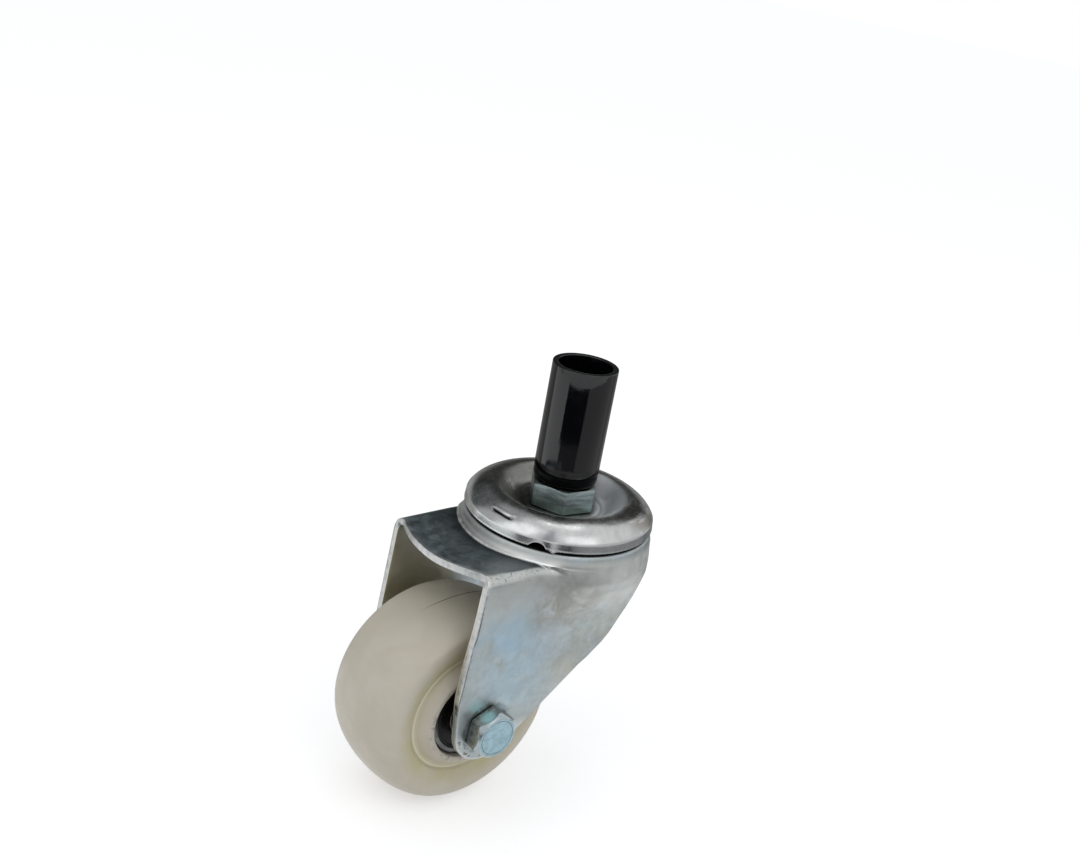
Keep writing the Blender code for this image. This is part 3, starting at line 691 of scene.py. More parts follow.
# Fork: one piece of 2 mm sheet, pressed and folded. A drum behind runs up into a raised boss, the
# web in front is folded down into two legs, and the drum's wall flattens out into them.
AXLE = Vector((-0.0328, 0, -0.0983))
LEG_Y = 0.0221
FORK_SHEET = 0.0020
FOLD = 0.0030
WEB_Z = -0.0504
BOSS_Z = -0.0464
HUB_Z = -0.0449
FLARE_DEPTH = 0.0270
LOBE = 0.0104
FRONT_MARGIN = 0.0020
FRONT_LEAN = 0.075
WEB_BULGE = 0.0050
WEB_CORNER = Vector((-0.0411, 0.0191))
WEB_LIFT = 0.0008
WORN_BACK = 0.0008
LOBE_END_BACK = -66
LOBE_END_FRONT = -114
FAR_FOLD_GROWS = 0.0016
SKIRT_LINE = -0.0582
DRUM_RADIUS = 0.02825
DRUM_FLARE = 0.00060
BACK_BEND = (0.0085, -0.0771)
BACK_BEND_RADIUS = 0.0140
REAR_CORNER_X = 0.0150
REAR_CORNER_RADIUS = 0.0060


def leg_front(z):
    """How far forward of the swivel axis the legs' front edges are at a height."""
    return -AXLE.x + LOBE + FRONT_MARGIN - FRONT_LEAN * (z - AXLE.z)


def drum_radius(z):
    """Radius of the drum's wall at a height."""
    return DRUM_RADIUS + DRUM_FLARE * swell(-z, 0.0490, 0.0560)


def outline_turn(before, here, after, radius, steps=10):
    """The arc that rounds a corner of the side view."""
    back = (Vector(before) - Vector(here)).normalized()
    ahead = (Vector(after) - Vector(here)).normalized()
    half = back.angle(ahead) / 2
    centre = Vector(here) + (back + ahead).normalized() * radius / math.sin(half)
    first = Vector(here) + back * radius / math.tan(half) - centre
    last = Vector(here) + ahead * radius / math.tan(half) - centre
    sweep = first.angle_signed(last)
    return [centre + Matrix.Rotation(-sweep * step / steps, 2) @ first for step in range(steps + 1)]


def touching(point, side):
    """Where a line from a point touches the lobe round the axle."""
    centre = Vector((AXLE.x, AXLE.z))
    reach = Vector(point) - centre
    swing = side * math.acos(LOBE / reach.length)
    return centre + Matrix.Rotation(swing, 2) @ (reach.normalized() * LOBE)


lobe_back = touching(BACK_BEND, -1)
back_edge = outline_turn((0.05, SKIRT_LINE), (REAR_CORNER_X, SKIRT_LINE), BACK_BEND, REAR_CORNER_RADIUS)
back_edge += outline_turn((REAR_CORNER_X, SKIRT_LINE), BACK_BEND, lobe_back, BACK_BEND_RADIUS)
back_edge.append(lobe_back)
front_top = (-leg_front(WEB_Z) - 0.0070, WEB_Z + 0.012)
lobe_front = touching(front_top, 1)


def back_x(z):
    """The legs' back edge at a height under the skirt line."""
    if z <= lobe_back.y:
        return AXLE.x + math.sqrt(max(LOBE ** 2 - (z - AXLE.z) ** 2, 0))
    for upper, lower in zip(back_edge, back_edge[1:]):
        if upper.y >= z >= lower.y:
            share = 0 if upper.y == lower.y else (upper.y - z) / (upper.y - lower.y)
            return between(upper.x, lower.x, share)
    return back_edge[0].x


def front_x(z):
    """The legs' front edge at a height."""
    if z <= lobe_front.y:
        return AXLE.x - math.sqrt(max(LOBE ** 2 - (z - AXLE.z) ** 2, 0))
    share = (z - lobe_front.y) / (front_top[1] - lobe_front.y)
    return max(-leg_front(z), between(lobe_front.x, front_top[0], share))


def wall_y(x, z):
    """Half width of the fork's wall at a place: a round drum that flattens out into the leg."""
    excess = math.sqrt(max(drum_radius(z) ** 2 - x * x, 0)) - LEG_Y
    ease = 0.0007
    share = 1 - swell(WEB_Z - z, FOLD, FLARE_DEPTH)
    bulge = (excess + math.sqrt(excess ** 2 + ease ** 2)) / 2
    behind = (math.sqrt(excess ** 2 + ease ** 2) - excess) / 2 if x > 0 else 0.0
    lift = ease / 2 * (1 - share)
    return LEG_Y + share * bulge - behind + (lift if x > 0 else 0.0)


# Columns of the half sheet, counted from its middle behind to its middle in front.
REAR, SIDE, LEG, NOSE = 12, 30, 16, 12
crease = REAR + SIDE
corner = crease + LEG
columns = corner + NOSE
CREASE_TOP = Vector((-0.0211, 0.0191, WEB_Z))
CREASE_LOW_X = -0.0183
CORNER_TURN = math.radians(158)
crease_turn = math.atan2(CREASE_TOP.y, CREASE_TOP.x)
skirt_turn = math.acos(back_edge[0].x / drum_radius(SKIRT_LINE))

# Rows of the half sheet, counted from the stem's hole down to the legs' round ends.
FOOT_DROP = 0.0030
FOOT_STEP = 0.00033
WEB_ROWS, FOLD_ROWS = 6, 8
crown = [(0.0063, HUB_Z), (0.0095, HUB_Z), (0.0125, HUB_Z), (0.0135, HUB_Z - 0.0009)]
crown += [(r, BOSS_Z - drop) for r, drop in (
    (0.0146, 0), (0.0190, 0), (0.0235, 0), (0.0260, 0), (0.0266, 0.00005), (0.0271, 0.00018),
    (0.02745, 0.00042), (0.0277, 0.0008), (0.02785, 0.0014), (0.0280, 0.0022))]
foot = [(DRUM_RADIUS, BOSS_Z - FOOT_DROP), (0.0287, WEB_Z + 0.0005), (0.02905, WEB_Z + 0.00018),
        (0.02945, WEB_Z)]
foot_low = BOSS_Z - FOOT_DROP - FOOT_STEP * len(foot)
shoulder_z = [-0.0546, -0.0558, -0.0570, SKIRT_LINE]
leg_z = [-0.0584, -0.0587, -0.0591, -0.0597, -0.0605, -0.0616, -0.0630, -0.0645]
leg_z += [-0.0645 - 0.0021 * step for step in range(1, 16)]
leg_z += [AXLE.z - LOBE * math.cos(math.radians(angle)) for angle in (88, 78, 68, 58, 50, 42, 35)]
rows_above = len(crown) + len(foot)
rows_web = rows_above + WEB_ROWS
rows_fold = rows_web + FOLD_ROWS
rows_shoulder = rows_fold + len(shoulder_z)
rows_leg = rows_shoulder + len(leg_z)
rows = rows_leg + 1


def turn_at(column):
    """Direction from the swivel axis of a column in the crown."""
    stops = ((0, 0), (REAR, skirt_turn), (crease, crease_turn), (corner, CORNER_TURN), (columns, math.pi))
    for (first, low), (last, high) in zip(stops, stops[1:]):
        if column <= last:
            return between(low, high, (column - first) / (last - first))


WEB_RADIUS = (WEB_CORNER.y ** 2 + WEB_BULGE ** 2) / (2 * WEB_BULGE)
WEB_CENTRE_X = WEB_RADIUS + WEB_CORNER.x - WEB_BULGE


def front_of_web(y):
    """Front edge of the web at a distance from its middle."""
    return WEB_CENTRE_X - math.sqrt(WEB_RADIUS ** 2 - y * y)


def crease_point(share):
    """The line where the drum's wall meets the leg's fold, from the web down."""
    angle = math.pi / 2 * share
    y = LEG_Y - FOLD + FOLD * math.sin(angle)
    z = WEB_Z - FOLD * (1 - math.cos(angle))
    radius = between(CREASE_TOP.xy.length, drum_radius(WEB_Z - FOLD), share)
    return Vector((-math.sqrt(radius ** 2 - y * y), y, z))


def out_to(turn, reach, z):
    """The point in a direction from the swivel axis, at a distance from it and a height."""
    return Vector((math.cos(turn) * reach, math.sin(turn) * reach, z))


def crown_point(turn, column, row):
    """A point of the boss and its foot. Behind, the foot is the top of the drum's wall."""
    if row < len(crown):
        return out_to(turn, *crown[row])
    r, z = foot[row - len(crown)]
    front = swell(column, crease - 5, crease)
    level = BOSS_Z - FOOT_DROP - (row - len(crown)) * FOOT_STEP
    return out_to(turn, between(drum_radius(z), r, front), between(level, z, front))


def drum_point(turn, column, share):
    """A point of the drum's wall beside the web, a share of the way down the fold."""
    line = crease_point(share)
    near = swell(column, between(REAR, crease, 0.45), crease)
    z = between(between(foot_low, WEB_Z - FOLD, share), line.z, near)
    if column > REAR:
        turn = between(skirt_turn, math.atan2(line.y, line.x), (column - REAR) / SIDE)
    return out_to(turn, between(drum_radius(z), line.xy.length, near), z)


def nose_point(turn, column, row, grows):
    """A point of the web ahead of the boss, out to its curved front edge."""
    y = (LEG_Y - FOLD - grows) * (columns - column) / NOSE
    end = Vector((front_of_web(y), y, WEB_Z))
    return out_to(turn, foot[-1][0], WEB_Z).lerp(end, (row - rows_above + 1) / WEB_ROWS)


def fold_point(turn, column, row, grows):
    """A point of the web's side, or of the fold that turns it down into the leg."""
    part = (column - crease) / LEG
    fold = FOLD + grows * part
    if row < rows_web:
        seam = out_to(turn, foot[-1][0], WEB_Z)
        fold_x = between(CREASE_TOP.x, front_of_web(LEG_Y - fold), part)
        flat = seam.lerp(Vector((fold_x, LEG_Y - fold, WEB_Z)), (row - rows_above + 1) / WEB_ROWS)
    else:
        down = (row - rows_web + 1) / FOLD_ROWS
        angle = math.pi / 2 * down
        z = WEB_Z - fold * (1 - math.cos(angle))
        back = between(CREASE_TOP.x, CREASE_LOW_X, down)
        front = between(front_of_web(LEG_Y - fold), -leg_front(z), swell(row - rows_web, -1, FOLD_ROWS - 1))
        flat = Vector((between(back, front, part), LEG_Y - fold + fold * math.sin(angle), z))
    edge = crease_point((row - rows_above + 1) / (WEB_ROWS + FOLD_ROWS))
    return edge.lerp(flat, swell(column, crease, crease + 2.5))


def leg_point(turn, column, row, grows):
    """A point of the drum's skirt or of the leg, or None behind the leg."""
    z = (shoulder_z + leg_z)[row - rows_fold]
    on_skirt = row < rows_shoulder
    if column <= REAR and on_skirt:
        return out_to(turn, drum_radius(z), z)
    if column < REAR:
        return None
    if column <= crease:
        here = between(skirt_turn, math.atan2(LEG_Y, CREASE_LOW_X), (column - REAR) / SIDE)
        x = drum_radius(SKIRT_LINE) * math.cos(here)
    else:
        part = (column - crease) / LEG
        if on_skirt:
            fold_end = WEB_Z - FOLD - grows * part
            z = between(fold_end, SKIRT_LINE, (row - rows_fold + 1) / len(shoulder_z))
        x = between(CREASE_LOW_X, front_x(z if on_skirt else SKIRT_LINE), part)
    if not on_skirt:
        share = (back_edge[0].x - x) / (back_edge[0].x - front_x(SKIRT_LINE))
        x = between(back_x(z), front_x(z), share)
    return Vector((x, wall_y(x, z), z))


def lobe_point(turn, column, grows):
    """A point of the leg's round lower end, or None behind the leg."""
    if column < REAR:
        return None
    last = leg_point(turn, column, rows_leg - 1, grows)
    back, front = back_x(leg_z[-1]), front_x(leg_z[-1])
    angle = math.radians(between(LOBE_END_BACK, LOBE_END_FRONT, (back - last.x) / (back - front)))
    return Vector((AXLE.x + LOBE * math.cos(angle), LEG_Y, AXLE.z + LOBE * math.sin(angle)))


def fork_point(column, row, grows):
    """Place of a grid point of the half sheet, or None where the sheet is cut away. grows widens
    the fold towards its front corner."""
    turn = turn_at(column)
    if row < rows_above:
        return crown_point(turn, column, row)
    if column > corner and row >= rows_web:
        return None
    if row < rows_fold and column <= crease:
        return drum_point(turn, column, (row - rows_above + 1) / (WEB_ROWS + FOLD_ROWS))
    if row < rows_fold:
        return (nose_point if column > corner else fold_point)(turn, column, row, grows)
    if row < rows_leg:
        return leg_point(turn, column, row, grows)
    return lobe_point(turn, column, grows)


fork = bmesh.new()
for side, grows in ((1, FAR_FOLD_GROWS), (-1, 0.0)):
    half = bmesh.new()
    bmesh.ops.create_grid(half, x_segments=columns, y_segments=rows - 1, size=1.0)
    spare = []
    for vert in half.verts:
        column = round((vert.co.x + 1) / 2 * columns)
        row = round((1 - vert.co.y) / 2 * (rows - 1))
        point = fork_point(column, row, grows)
        if point is None:
            spare.append(vert)
            continue
        x, y, z = point
        vert.co = Vector((x, y * side, z))
        if side < 0:
            lift = swell(y, 0.0, 0.0185) * swell(-x, 0.013, 0.0215) * swell(z, -0.0615, -0.0530)
            vert.co.z += WEB_LIFT * lift * (1 - swell(z, WEB_Z + 0.0006, WEB_Z + 0.0030))
            back = swell(z, -0.0790, -0.0610) * swell(-x, 0.020, 0.042) * swell(y, 0.0030, 0.0185)
            vert.co.x += WORN_BACK * back
    bmesh.ops.delete(half, geom=spare, context="VERTS")
    fork = joined(fork, half)
bmesh.ops.remove_doubles(fork, verts=fork.verts, dist=0.00002)
bmesh.ops.recalc_face_normals(fork, faces=fork.faces)

# Where the fold runs out into the drum, the press leaves no edge.
SMOOTHINGS = 14
pressed = [vert for vert in fork.verts if -0.029 < vert.co.x < -0.011 and abs(vert.co.y) > 0.0188
           and -0.066 < vert.co.z < -0.0512]
for _ in range(SMOOTHINGS):
    bmesh.ops.smooth_vert(fork, verts=pressed, factor=0.5, use_axis_x=True, use_axis_y=True, use_axis_z=True)
top_face = max(fork.faces, key=lambda face: face.calc_center_median().z)
if top_face.normal.z < 0:
    bmesh.ops.reverse_faces(fork, faces=fork.faces)

fork_zinc = material("fork_zinc_sheet")
place = object_place(fork_zinc)
x, y, z = parts(place)
up = parts(node(fork_zinc.node_tree, "NewGeometry").outputs["Normal"])[2]
across = calc("ABSOLUTE", y)
reach = distance(place, (0, 0, 0), (1, 1, 0))
from_axle = distance(place, AXLE, (1, 0, 1))
cloud = ramp(grain(place, 95, 6, 0.62, 0.8), 0.36, 0.64)
small = ramp(grain(place, 640, 5, 0.7, 0.3), 0.34, 0.66)
ragged = grain(place, 230, 6, 0.68, 1.0)
broad = grain(place, 130, 4, 0.6, 0.6)
# Painted light: the sheet's upper part, from the legs' middle up to the web, made paler, unevenly.
lit_upper_plate = times(band(z, -0.0690, -0.0600, WEB_Z + 0.0012, WEB_Z + 0.0030),
                   ramp(broad, 0.30, 0.60, 0.50, 0.85))
drum_light = times(band(z, -0.0580, -0.0540, BOSS_Z - 0.0036, BOSS_Z - 0.0022), ramp(x, -0.0160, 0.0060),
                   ramp(y, -0.0120, -0.0180), ramp(ragged, 0.30, 0.60, 0.70, 1.0))
stains = [
    (times(spot(place, (stain_x, -LEG_Y, stain_z), radius), ramp(rough, 0.30, 0.58, 0.0, strength)), shade)
    for stain_x, stain_z, radius, rough, strength, shade in (
        (-0.0300, -0.0700, 0.0190, broad, 0.90, (0.350, 0.48, 0.57)),
        (-0.0250, -0.0860, 0.0170, broad, 0.80, (0.350, 0.465, 0.535)),
        (-0.0110, -0.0610, 0.0150, ragged, 0.85, (0.285, 0.28, 0.25)),
        (-0.0190, -0.0640, 0.0090, ragged, 0.75, (0.30, 0.29, 0.25)),
        (0.0050, -0.0740, 0.0150, ragged, 0.70, (0.345, 0.345, 0.29)),
        (-0.0070, -0.0890, 0.0120, broad, 0.65, (0.43, 0.415, 0.345)))]

border = calc("SUBTRACT", across, ramp(x, -0.0413, -0.0200, 0.0193, 0.0211))
# Painted dark reflection: the web's upper face is made much darker than the rest of the sheet, and darker
# still towards the boss as painted shade.
on_web = times(ramp(up, 0.86, 0.97), ramp(z, WEB_Z + 0.0021, WEB_Z + 0.0013), ramp(border, 0.0004, -0.0001),
               ramp(x, -0.0189, -0.0199))
web_mottle = ramp(grain(place, 330, 6, 0.66, 0.5), 0.30, 0.70)
web_colour = layered(blend(web_mottle, (0.160, 0.195, 0.215), (0.30, 0.355, 0.38)),
                     (ramp(x, -0.038, -0.028, 0.0, 0.85), (0.090, 0.115, 0.120)))
# Painted light: the crown and the boss's wall above the web made paler.
lit_crown = times(ramp(z, WEB_Z + 0.0004, WEB_Z + 0.0012), ramp(x, -0.0140, -0.0190), 0.55)
# A painted highlight: a bright line round the foot of the boss, at the web.
foot_highlight = times(band(reach, 0.0287, 0.0290, 0.0294, 0.0296), ramp(x, -0.0165, -0.0185),
                  band(z, WEB_Z - 0.0005, WEB_Z - 0.0001, WEB_Z + 0.0014, WEB_Z + 0.0018))
foot_shade = times(band(reach, 0.0294, 0.0297, 0.0300, 0.0335), on_web, 0.75)
low_rim = ramp(z, AXLE.z + 0.001, AXLE.z - 0.004)
past_lobe = calc("SUBTRACT", from_axle, LOBE)
rim_light = times(ramp(past_lobe, -0.0009, -0.0004), low_rim, 0.7)
rim_pits = times(ramp(grain(place, 1150, 4, 0.6), 0.52, 0.62), low_rim,
                 band(past_lobe, -0.0030, -0.0018, -0.0008, -0.0004))
fold_pits = times(band(up, 0.30, 0.60, 0.86, 0.97), ramp(grain(place, 1500, 3, 0.6), 0.57, 0.65),
                  ramp(reach, 0.0298, 0.0303), ramp(x, -0.012, -0.020))
sparse = times(ramp(grain(place, 1300, 2), 0.72, 0.80), ramp(broad, 0.35, 0.6, 0.2, 0.9))

worn = times(ramp(z, -0.0790, -0.0610), ramp(y, 0.001, -0.001, 0.0, WORN_BACK))
from_front = calc("ADD", calc("MULTIPLY_ADD", z, -FRONT_LEAN, leg_front(0)), x)
from_front = calc("SUBTRACT", from_front, worn)
wander = ramp(grain(place, 170, 4), 0.25, 0.75, -0.00022, 0.00022)
burr = times(band(calc("ADD", from_front, wander), 0.00030, 0.00046, 0.00060, 0.00084),
             ramp(z, WEB_Z - 0.001, WEB_Z - 0.004), ramp(z, AXLE.z - 0.002, AXLE.z + 0.006),
             ramp(grain(place, 420, 5, 0.7), 0.34, 0.58, 0.25, 1.0))
reach_in = calc("SUBTRACT", from_front, ramp(z, WEB_Z - 0.0052, WEB_Z - 0.0022, 0.0, 0.0008))
leg_cut = times(ramp(reach_in, 0.00042, 0.00010), ramp(across, 0.0178, 0.0188),
                ramp(z, WEB_Z + 0.0006, WEB_Z - 0.0004))
from_trim = calc("ADD", distance(place, (WEB_CENTRE_X, 0, 0), (1, 1, 0)),
                 ramp(y, -0.0185, -0.0030, WORN_BACK, 0.0))
# A painted highlight: a paler strip on the web along its rounded front edge.
trim_highlight = times(ramp(from_trim, WEB_RADIUS - 0.0016, WEB_RADIUS - 0.0006), on_web, 0.75)
web_cut = times(ramp(from_trim, WEB_RADIUS - 0.00040, WEB_RADIUS - 0.00012), ramp(across, 0.0198, 0.0188),
                ramp(z, WEB_Z - 0.0035, WEB_Z - 0.0025))
cut_grain = blend(ramp(grain(place, 600, 5, 0.7), 0.32, 0.60), (0.42, 0.44, 0.44), (0.62, 0.63, 0.62))
# Painted shade: a patchy dark ring on the legs round the axle's bolt head and lock nut.
head_shade = times(band(from_axle, 0.0064, 0.0072, 0.0076, 0.0088),
                   ramp(grain(place, 360, 5, 0.7), 0.40, 0.62, 0.15, 0.75))

ahead_of_drum = ramp(x, -0.0170, -0.0230)
under_web = calc("SUBTRACT", WEB_Z, z)
shadowed = times(band(y, 0.0100, 0.0130, 0.0204, 0.0208), ahead_of_drum, ramp(under_web, 0.0016, 0.0026))
# Painted light: the near leg's inner face made pale, so that it throws more light onto the wheel.
near_inside = times(band(y, -0.0206, -0.0203, -0.0150, -0.0140), ahead_of_drum,
                    ramp(under_web, 0.0040, 0.0060))
far_inside = times(band(y, 0.0150, 0.0175, 0.0204, 0.0208), ahead_of_drum, ramp(under_web, 0.0030, 0.0042),
                   0.9)
# Painted shade, nearly black, on the boss's top under the race cap.
under_cap = ramp(z, BOSS_Z - 0.0006, BOSS_Z - 0.0002)
principled(fork_zinc, {
    "Base Color": layered(
        blend(cloud, (0.385, 0.42, 0.415), (0.415, 0.475, 0.51)),
        (times(small, ramp(cloud, 0.0, 1.0, 0.60, 0.35)), (0.32, 0.345, 0.335)),
        (lit_upper_plate, (0.51, 0.525, 0.505)), (drum_light, (0.68, 0.71, 0.69)), *stains, (on_web, web_colour),
        (lit_crown, (0.56, 0.585, 0.58)), (foot_shade, (0.050, 0.062, 0.065)), (foot_highlight, (0.96, 0.98, 0.97)),
        (rim_light, (0.56, 0.57, 0.56)), (rim_pits, (0.07, 0.07, 0.065)), (fold_pits, (0.11, 0.12, 0.12)),
        (sparse, (0.10, 0.105, 0.11)), (burr, (0.085, 0.08, 0.09)), (trim_highlight, (0.40, 0.43, 0.44)),
        (calc("MAXIMUM", leg_cut, web_cut), cut_grain), (head_shade, (0.12, 0.14, 0.14)),
        (shadowed, (0.17, 0.195, 0.205)), (near_inside, (0.80, 0.77, 0.70)), (far_inside, (0.62, 0.60, 0.50)),
        (under_cap, (0.05, 0.05, 0.048))),
    "Metallic": 1.0,
    "Roughness": ramp(grain(place, 300, 5), 0.3, 0.7, 0.34, 0.50),
    "Normal": bumped(grain(place, 240, 5, 0.6), 0.00006)})
sheet_fork = piece("fork_sheet", fork, fork_zinc, "fork", "fork_zinc", ["fork"], 60)
FORK_RIM = 0.00028
wall = sheet_fork.modifiers.new("sheet", "SOLIDIFY")
wall.thickness = FORK_SHEET
wall.offset = -1
wall.use_even_offset = True
rim = sheet_fork.modifiers.new("rim", "BEVEL")
rim.width = FORK_RIM
rim.segments = 2
rim.limit_method = "ANGLE"
rim.angle_limit = math.radians(50)


# Axle: an M8 bolt from the near side with its lock nut on the far side, a steel sleeve through the
# bearings, and a spacer between each bearing and the leg. Plated pale blue.
HEAD_FLATS = 0.0130
HEAD_HEIGHT = 0.0052
HEAD_CORNER = 23.8
BOLT_RADIUS = 0.0040
LOCK_NUT_HEIGHT = 0.0078
LOCK_NUT_BODY = 0.0062
BOLT_PITCH = 0.00125
BOLT_PROUD = 0.0022
SLEEVE_RADIUS = 0.0047
SLEEVE_BORE = 0.0043
SPACER_RADIUS = 0.0070
SPACER_BORE = 0.0050
SPACER_START = 0.0152
seat = LEG_Y + GAP
head_face = -seat - HEAD_HEIGHT
bolt_end = -seat - LOCK_NUT_HEIGHT - BOLT_PROUD


def flipped(bm):
    """Turns a body on Z end for end."""
    bmesh.ops.rotate(bm, verts=bm.verts, cent=(0, 0, 0), matrix=Matrix.Rotation(math.pi, 3, "X"))
    return bm


def laid(bm):
    """Lays a body made on Z along the axle, its upper end towards -Y."""
    turn = Matrix.Translation(AXLE) @ Matrix.Rotation(math.radians(90), 4, "X")
    bmesh.ops.transform(bm, matrix=turn, verts=bm.verts)
    return bm


bolt_zinc = material("pale_blue_zinc")
place = object_place(bolt_zinc)
y = parts(place)[1]
cloud = ramp(grain(place, 520, 5, 0.6, 0.4), 0.32, 0.68)
patchy = ramp(grain(place, 640, 5, 0.7), 0.34, 0.56, 0.45, 1.0)
facing = parts(node(bolt_zinc.node_tree, "TexCoord").outputs["Normal"])[1]
outside_leg = ramp(y, -LEG_Y + 0.001, -LEG_Y - 0.001)
upper = (AXLE.x - HEAD_FLATS * 0.20, -seat - HEAD_HEIGHT * 0.5, AXLE.z + HEAD_FLATS * 0.46)
side_tone = layered(blend(patchy, (0.44, 0.46, 0.43), (0.22, 0.23, 0.21)),
                    (spot(place, upper, 0.0031, 0.7), (0.40, 0.61, 0.61)))
turned_tone = blend(patchy, (0.52, 0.55, 0.54), (0.34, 0.40, 0.42))
# Painted shade: a patchy dark line round the rim of the head's dished end face.
rim_line = times(band(distance(place, AXLE, (1, 0, 1)), 0.00505, 0.00518, 0.00530, 0.00545),
                 ramp(y, head_face + 0.00050, head_face + 0.00030), patchy)
principled(bolt_zinc, {
    "Base Color": layered(
        blend(cloud, (0.24, 0.35, 0.395), (0.315, 0.455, 0.515)),
        (times(ramp(facing, -0.38, -0.20), outside_leg), side_tone),
        (times(band(facing, -0.93, -0.84, -0.50, -0.40), outside_leg), turned_tone),
        (rim_line, (0.14, 0.17, 0.17))),
    "Metallic": 1.0,
    "Roughness": ramp(grain(place, 900, 5), 0.3, 0.7, 0.22, 0.36),
    "Normal": bumped(grain(place, 700, 4), 0.00003)})

head = hexagon(HEAD_FLATS, seat, seat + HEAD_HEIGHT, HEAD_CORNER, ("top",), 0.915, 46, 0.00015)
bolt = joined(eased(head, 0.00018, 3, 18), rod(BOLT_RADIUS, -LEG_Y, seat + 0.001))
thread = flipped(threaded(BOLT_RADIUS, 0, -bolt_end - LEG_Y + 0.0002, BOLT_PITCH, 0.0005))
bmesh.ops.translate(thread, verts=thread.verts, vec=(0, 0, -LEG_Y + 0.0002))
piece("axle_bolt_plated", laid(joined(bolt, thread)), bolt_zinc, "fork", "bolt_zinc", ["axle_bolt"], 30)

lock_nut = eased(hexagon(HEAD_FLATS, -seat - LOCK_NUT_BODY, -seat, 0, ("low",), 0.94, 30), 0.0001, 2, 18)
collar = spun([(0.0043, -seat - 0.0060), (0.0058, -seat - 0.0060), (0.0058, -seat - 0.0070),
               (0.0053, -seat - LOCK_NUT_HEIGHT), (0.0043, -seat - LOCK_NUT_HEIGHT)], 64)
lock_nut = laid(joined(lock_nut, eased(collar, 0.0003, 2)))
piece("axle_lock_nut", lock_nut, bolt_zinc, "fork", "bolt_zinc", ["axle_nut"], 30)

plain_steel = zinc("plain_steel", (0.075, 0.075, 0.075), (0.045, 0.045, 0.045), 0.34, streak=(1, 8, 1))
half_inside = LEG_Y - FORK_SHEET - GAP
sleeve = ring(SLEEVE_RADIUS, SLEEVE_BORE, -half_inside, half_inside, 64)
piece("axle_sleeve_turned", laid(sleeve), plain_steel, "fork", "sleeve_steel", ["axle_sleeve"])
for side in ("near", "far"):
    spacer = eased(ring(SPACER_RADIUS, SPACER_BORE, SPACER_START, half_inside, 64), 0.0003, 2)
    spacer = laid(spacer if side == "near" else flipped(spacer))
    piece("spacer_turned_" + side, spacer, plain_steel, "fork", "sleeve_steel", ["spacer_" + side])


# Wheel: ivory nylon, moulded solid. A crowned tread, a shallow ring groove in each side, a raised
# hub with the bearing's pocket, and a hairline where the mould's halves met.
TREAD_RADIUS = 0.0310
TREAD_HALF = 0.0149
TREAD_CROWN = 0.0051
GROOVE_RADIUS = 0.0193
GROOVE_INSET = 0.0018
HUB_RADIUS = 0.0146
HUB_HALF = 0.0163
POCKET_RADIUS = 0.0133
POCKET_FLOOR = 0.0066
WHEEL_BORE = 0.0085
SEAM_BOW = 8.2
SEAM_LEAN = 0.079
SEAM_OFFSET = -0.00051

groove_floor = TREAD_HALF - GROOVE_INSET
side_profile = [
    (POCKET_RADIUS, HUB_HALF - 0.0003), (POCKET_RADIUS + 0.0003, HUB_HALF), (HUB_RADIUS - 0.0002, HUB_HALF),
    (HUB_RADIUS + 0.0003, HUB_HALF - 0.00015), (HUB_RADIUS + 0.0008, HUB_HALF - 0.0007),
    (HUB_RADIUS + 0.0016, HUB_HALF - 0.0017), (HUB_RADIUS + 0.0028, groove_floor + 0.0001),
    (GROOVE_RADIUS - 0.0010, groove_floor), (GROOVE_RADIUS - 0.0003, groove_floor - 0.0002),
    (GROOVE_RADIUS, groove_floor), (GROOVE_RADIUS + 0.0004, groove_floor + 0.0004)]
side_profile += [(GROOVE_RADIUS + out, TREAD_HALF - GROOVE_INSET * share)
                 for out, share in ((0.0012, 0.62), (0.0022, 0.40), (0.0036, 0.15))]
side_profile.append((TREAD_RADIUS - TREAD_CROWN - 0.0013, TREAD_HALF - 0.00004))
for step in range(1, 24):
    angle = math.pi / 2 * step / 24
    side_profile.append((TREAD_RADIUS - TREAD_CROWN * (1 - math.sin(angle)), TREAD_HALF * math.cos(angle)))
other_profile = [(r, -z) for r, z in reversed(side_profile)]
pocket = [(POCKET_RADIUS, -POCKET_FLOOR), (WHEEL_BORE, -POCKET_FLOOR), (WHEEL_BORE, POCKET_FLOOR),
          (POCKET_RADIUS, POCKET_FLOOR)]
wheel = laid(spun([*side_profile, (TREAD_RADIUS, 0), *other_profile, *pocket], 192))

nylon = material("ivory_nylon")
place = object_place(nylon)
x, y, z = parts(place)
radius = distance(place, AXLE, (1, 0, 1))
cloud = ramp(grain(place, 60, 4, 0.6, 0.5), 0.35, 0.68)
from_groove = calc("SUBTRACT", radius, GROOVE_RADIUS)
yellowed = times(band(from_groove, -0.0030, -0.0010, 0.0012, 0.0066),
                 ramp(grain(place, 190, 4), 0.30, 0.70, 0.45, 1.0))
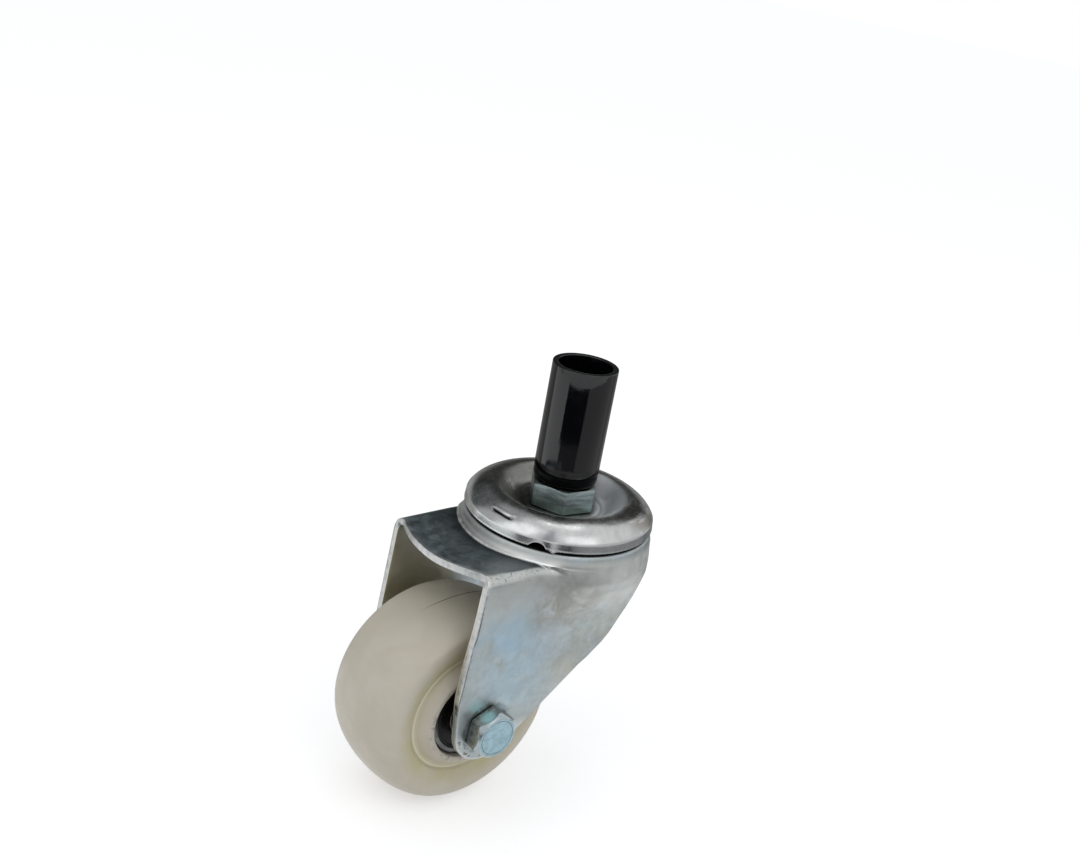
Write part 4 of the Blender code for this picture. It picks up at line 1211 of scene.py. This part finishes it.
# A painted highlight: a pale line on the groove's floor just inside its outer edge.
groove_highlight = times(band(from_groove, -0.0013, -0.0009, -0.0007, -0.0003), 0.7)
ring_line = times(band(from_groove, -0.0004, 0.0, 0.0001, 0.0005),
                  ramp(grain(place, 500, 3), 0.3, 0.6, 0.2, 0.6))
greyer = ramp(radius, HUB_RADIUS - 0.0002, HUB_RADIUS + 0.0016, 0.5, 0.0)
grime = times(ramp(radius, POCKET_RADIUS + 0.0030, POCKET_RADIUS),
              ramp(grain(place, 700, 5, 0.7), 0.50, 0.66))
ahead = calc("ADD", x, -AXLE.x)
bow = calc("MULTIPLY_ADD", times(ahead, ahead), SEAM_BOW, SEAM_OFFSET)
off_seam = calc("ABSOLUTE", calc("SUBTRACT", y, calc("MULTIPLY_ADD", ahead, SEAM_LEAN, bow)))
seam = times(ramp(off_seam, 0.00022, 0.00006), ramp(radius, TREAD_RADIUS - 0.0012, TREAD_RADIUS - 0.0006),
             ramp(x, AXLE.x - 0.0145, AXLE.x - 0.0050))
principled(nylon, {
    "Base Color": layered(
        blend(cloud, (0.600, 0.548, 0.445), (0.650, 0.600, 0.503)), (yellowed, (0.560, 0.520, 0.310)),
        (groove_highlight, (0.78, 0.73, 0.58)), (ring_line, (0.44, 0.385, 0.25)), (greyer, (0.52, 0.49, 0.43)),
        (grime, (0.30, 0.27, 0.22)), (seam, (0.12, 0.10, 0.085))),
    "Roughness": ramp(grain(place, 260, 4), 0.3, 0.7, 0.38, 0.50),
    "Subsurface Weight": 0.18,
    "Subsurface Radius": (1.0, 0.8, 0.5),
    "Subsurface Scale": 0.0015,
    "Normal": bumped(grain(place, 420, 4), 0.00003)})
piece("wheel_nylon_moulded", wheel, nylon, "wheel", "wheel_nylon", ["wheel"], 40)


# Bearings: a sealed ball bearing in each pocket. The ground outer ring shows as a thin grey
# crescent round the black seal, with the inner ring in the middle.
BEARING_RADIUS = 0.0130
BEARING_BORE = 0.0050
BEARING_WIDTH = 0.0080
BEARING_FACE = 0.0149
RING = 0.0022
RING_SHOWN = 0.0016

ring_steel = zinc("ground_steel", (0.17, 0.17, 0.172), (0.09, 0.09, 0.092), 0.30, streak=(1, 6, 1))
seal_black = material("seal_black")
place = object_place(seal_black)
principled(seal_black, {
    "Base Color": blend(ramp(grain(place, 900, 5), 0.55, 0.75), (0.0045, 0.0038, 0.0034),
                        (0.022, 0.019, 0.017)),
    "Roughness": 0.28,
    "Specular IOR Level": 0.12,
    "Normal": bumped(grain(place, 1600, 3), 0.00003)})
out_ring = BEARING_RADIUS - RING_SHOWN
in_ring = BEARING_BORE + RING
seal_top = BEARING_FACE - 0.0004
seal_low = seal_top - 0.0010
bearing_low = BEARING_FACE - BEARING_WIDTH
for side in ("near", "far"):
    rings = joined(eased(ring(BEARING_RADIUS, out_ring, bearing_low, BEARING_FACE, 128), 0.00035, 3),
                   eased(ring(in_ring, BEARING_BORE, bearing_low, BEARING_FACE, 96), 0.0003, 3))
    seal = spun([
        (out_ring - 0.0001, seal_top), (out_ring - 0.0001, seal_low), (in_ring + 0.0001, seal_low),
        (in_ring + 0.0001, seal_top), (in_ring + 0.0006, seal_top + 0.00012), (in_ring + 0.0010, seal_top),
        (out_ring - 0.0011, seal_top), (out_ring - 0.0007, seal_top - 0.0002),
        (out_ring - 0.0004, seal_top)], 128)
    for name, bm, finish, slot, cad in (
            ("bearing_rings_", rings, ring_steel, "bearing_steel", "bearing_"),
            ("seal_lips_", seal, seal_black, "seal_rubber", "seal_")):
        bm = laid(bm if side == "near" else flipped(bm))
        piece(name + side, bm, finish, "wheel", slot, [cad + side])
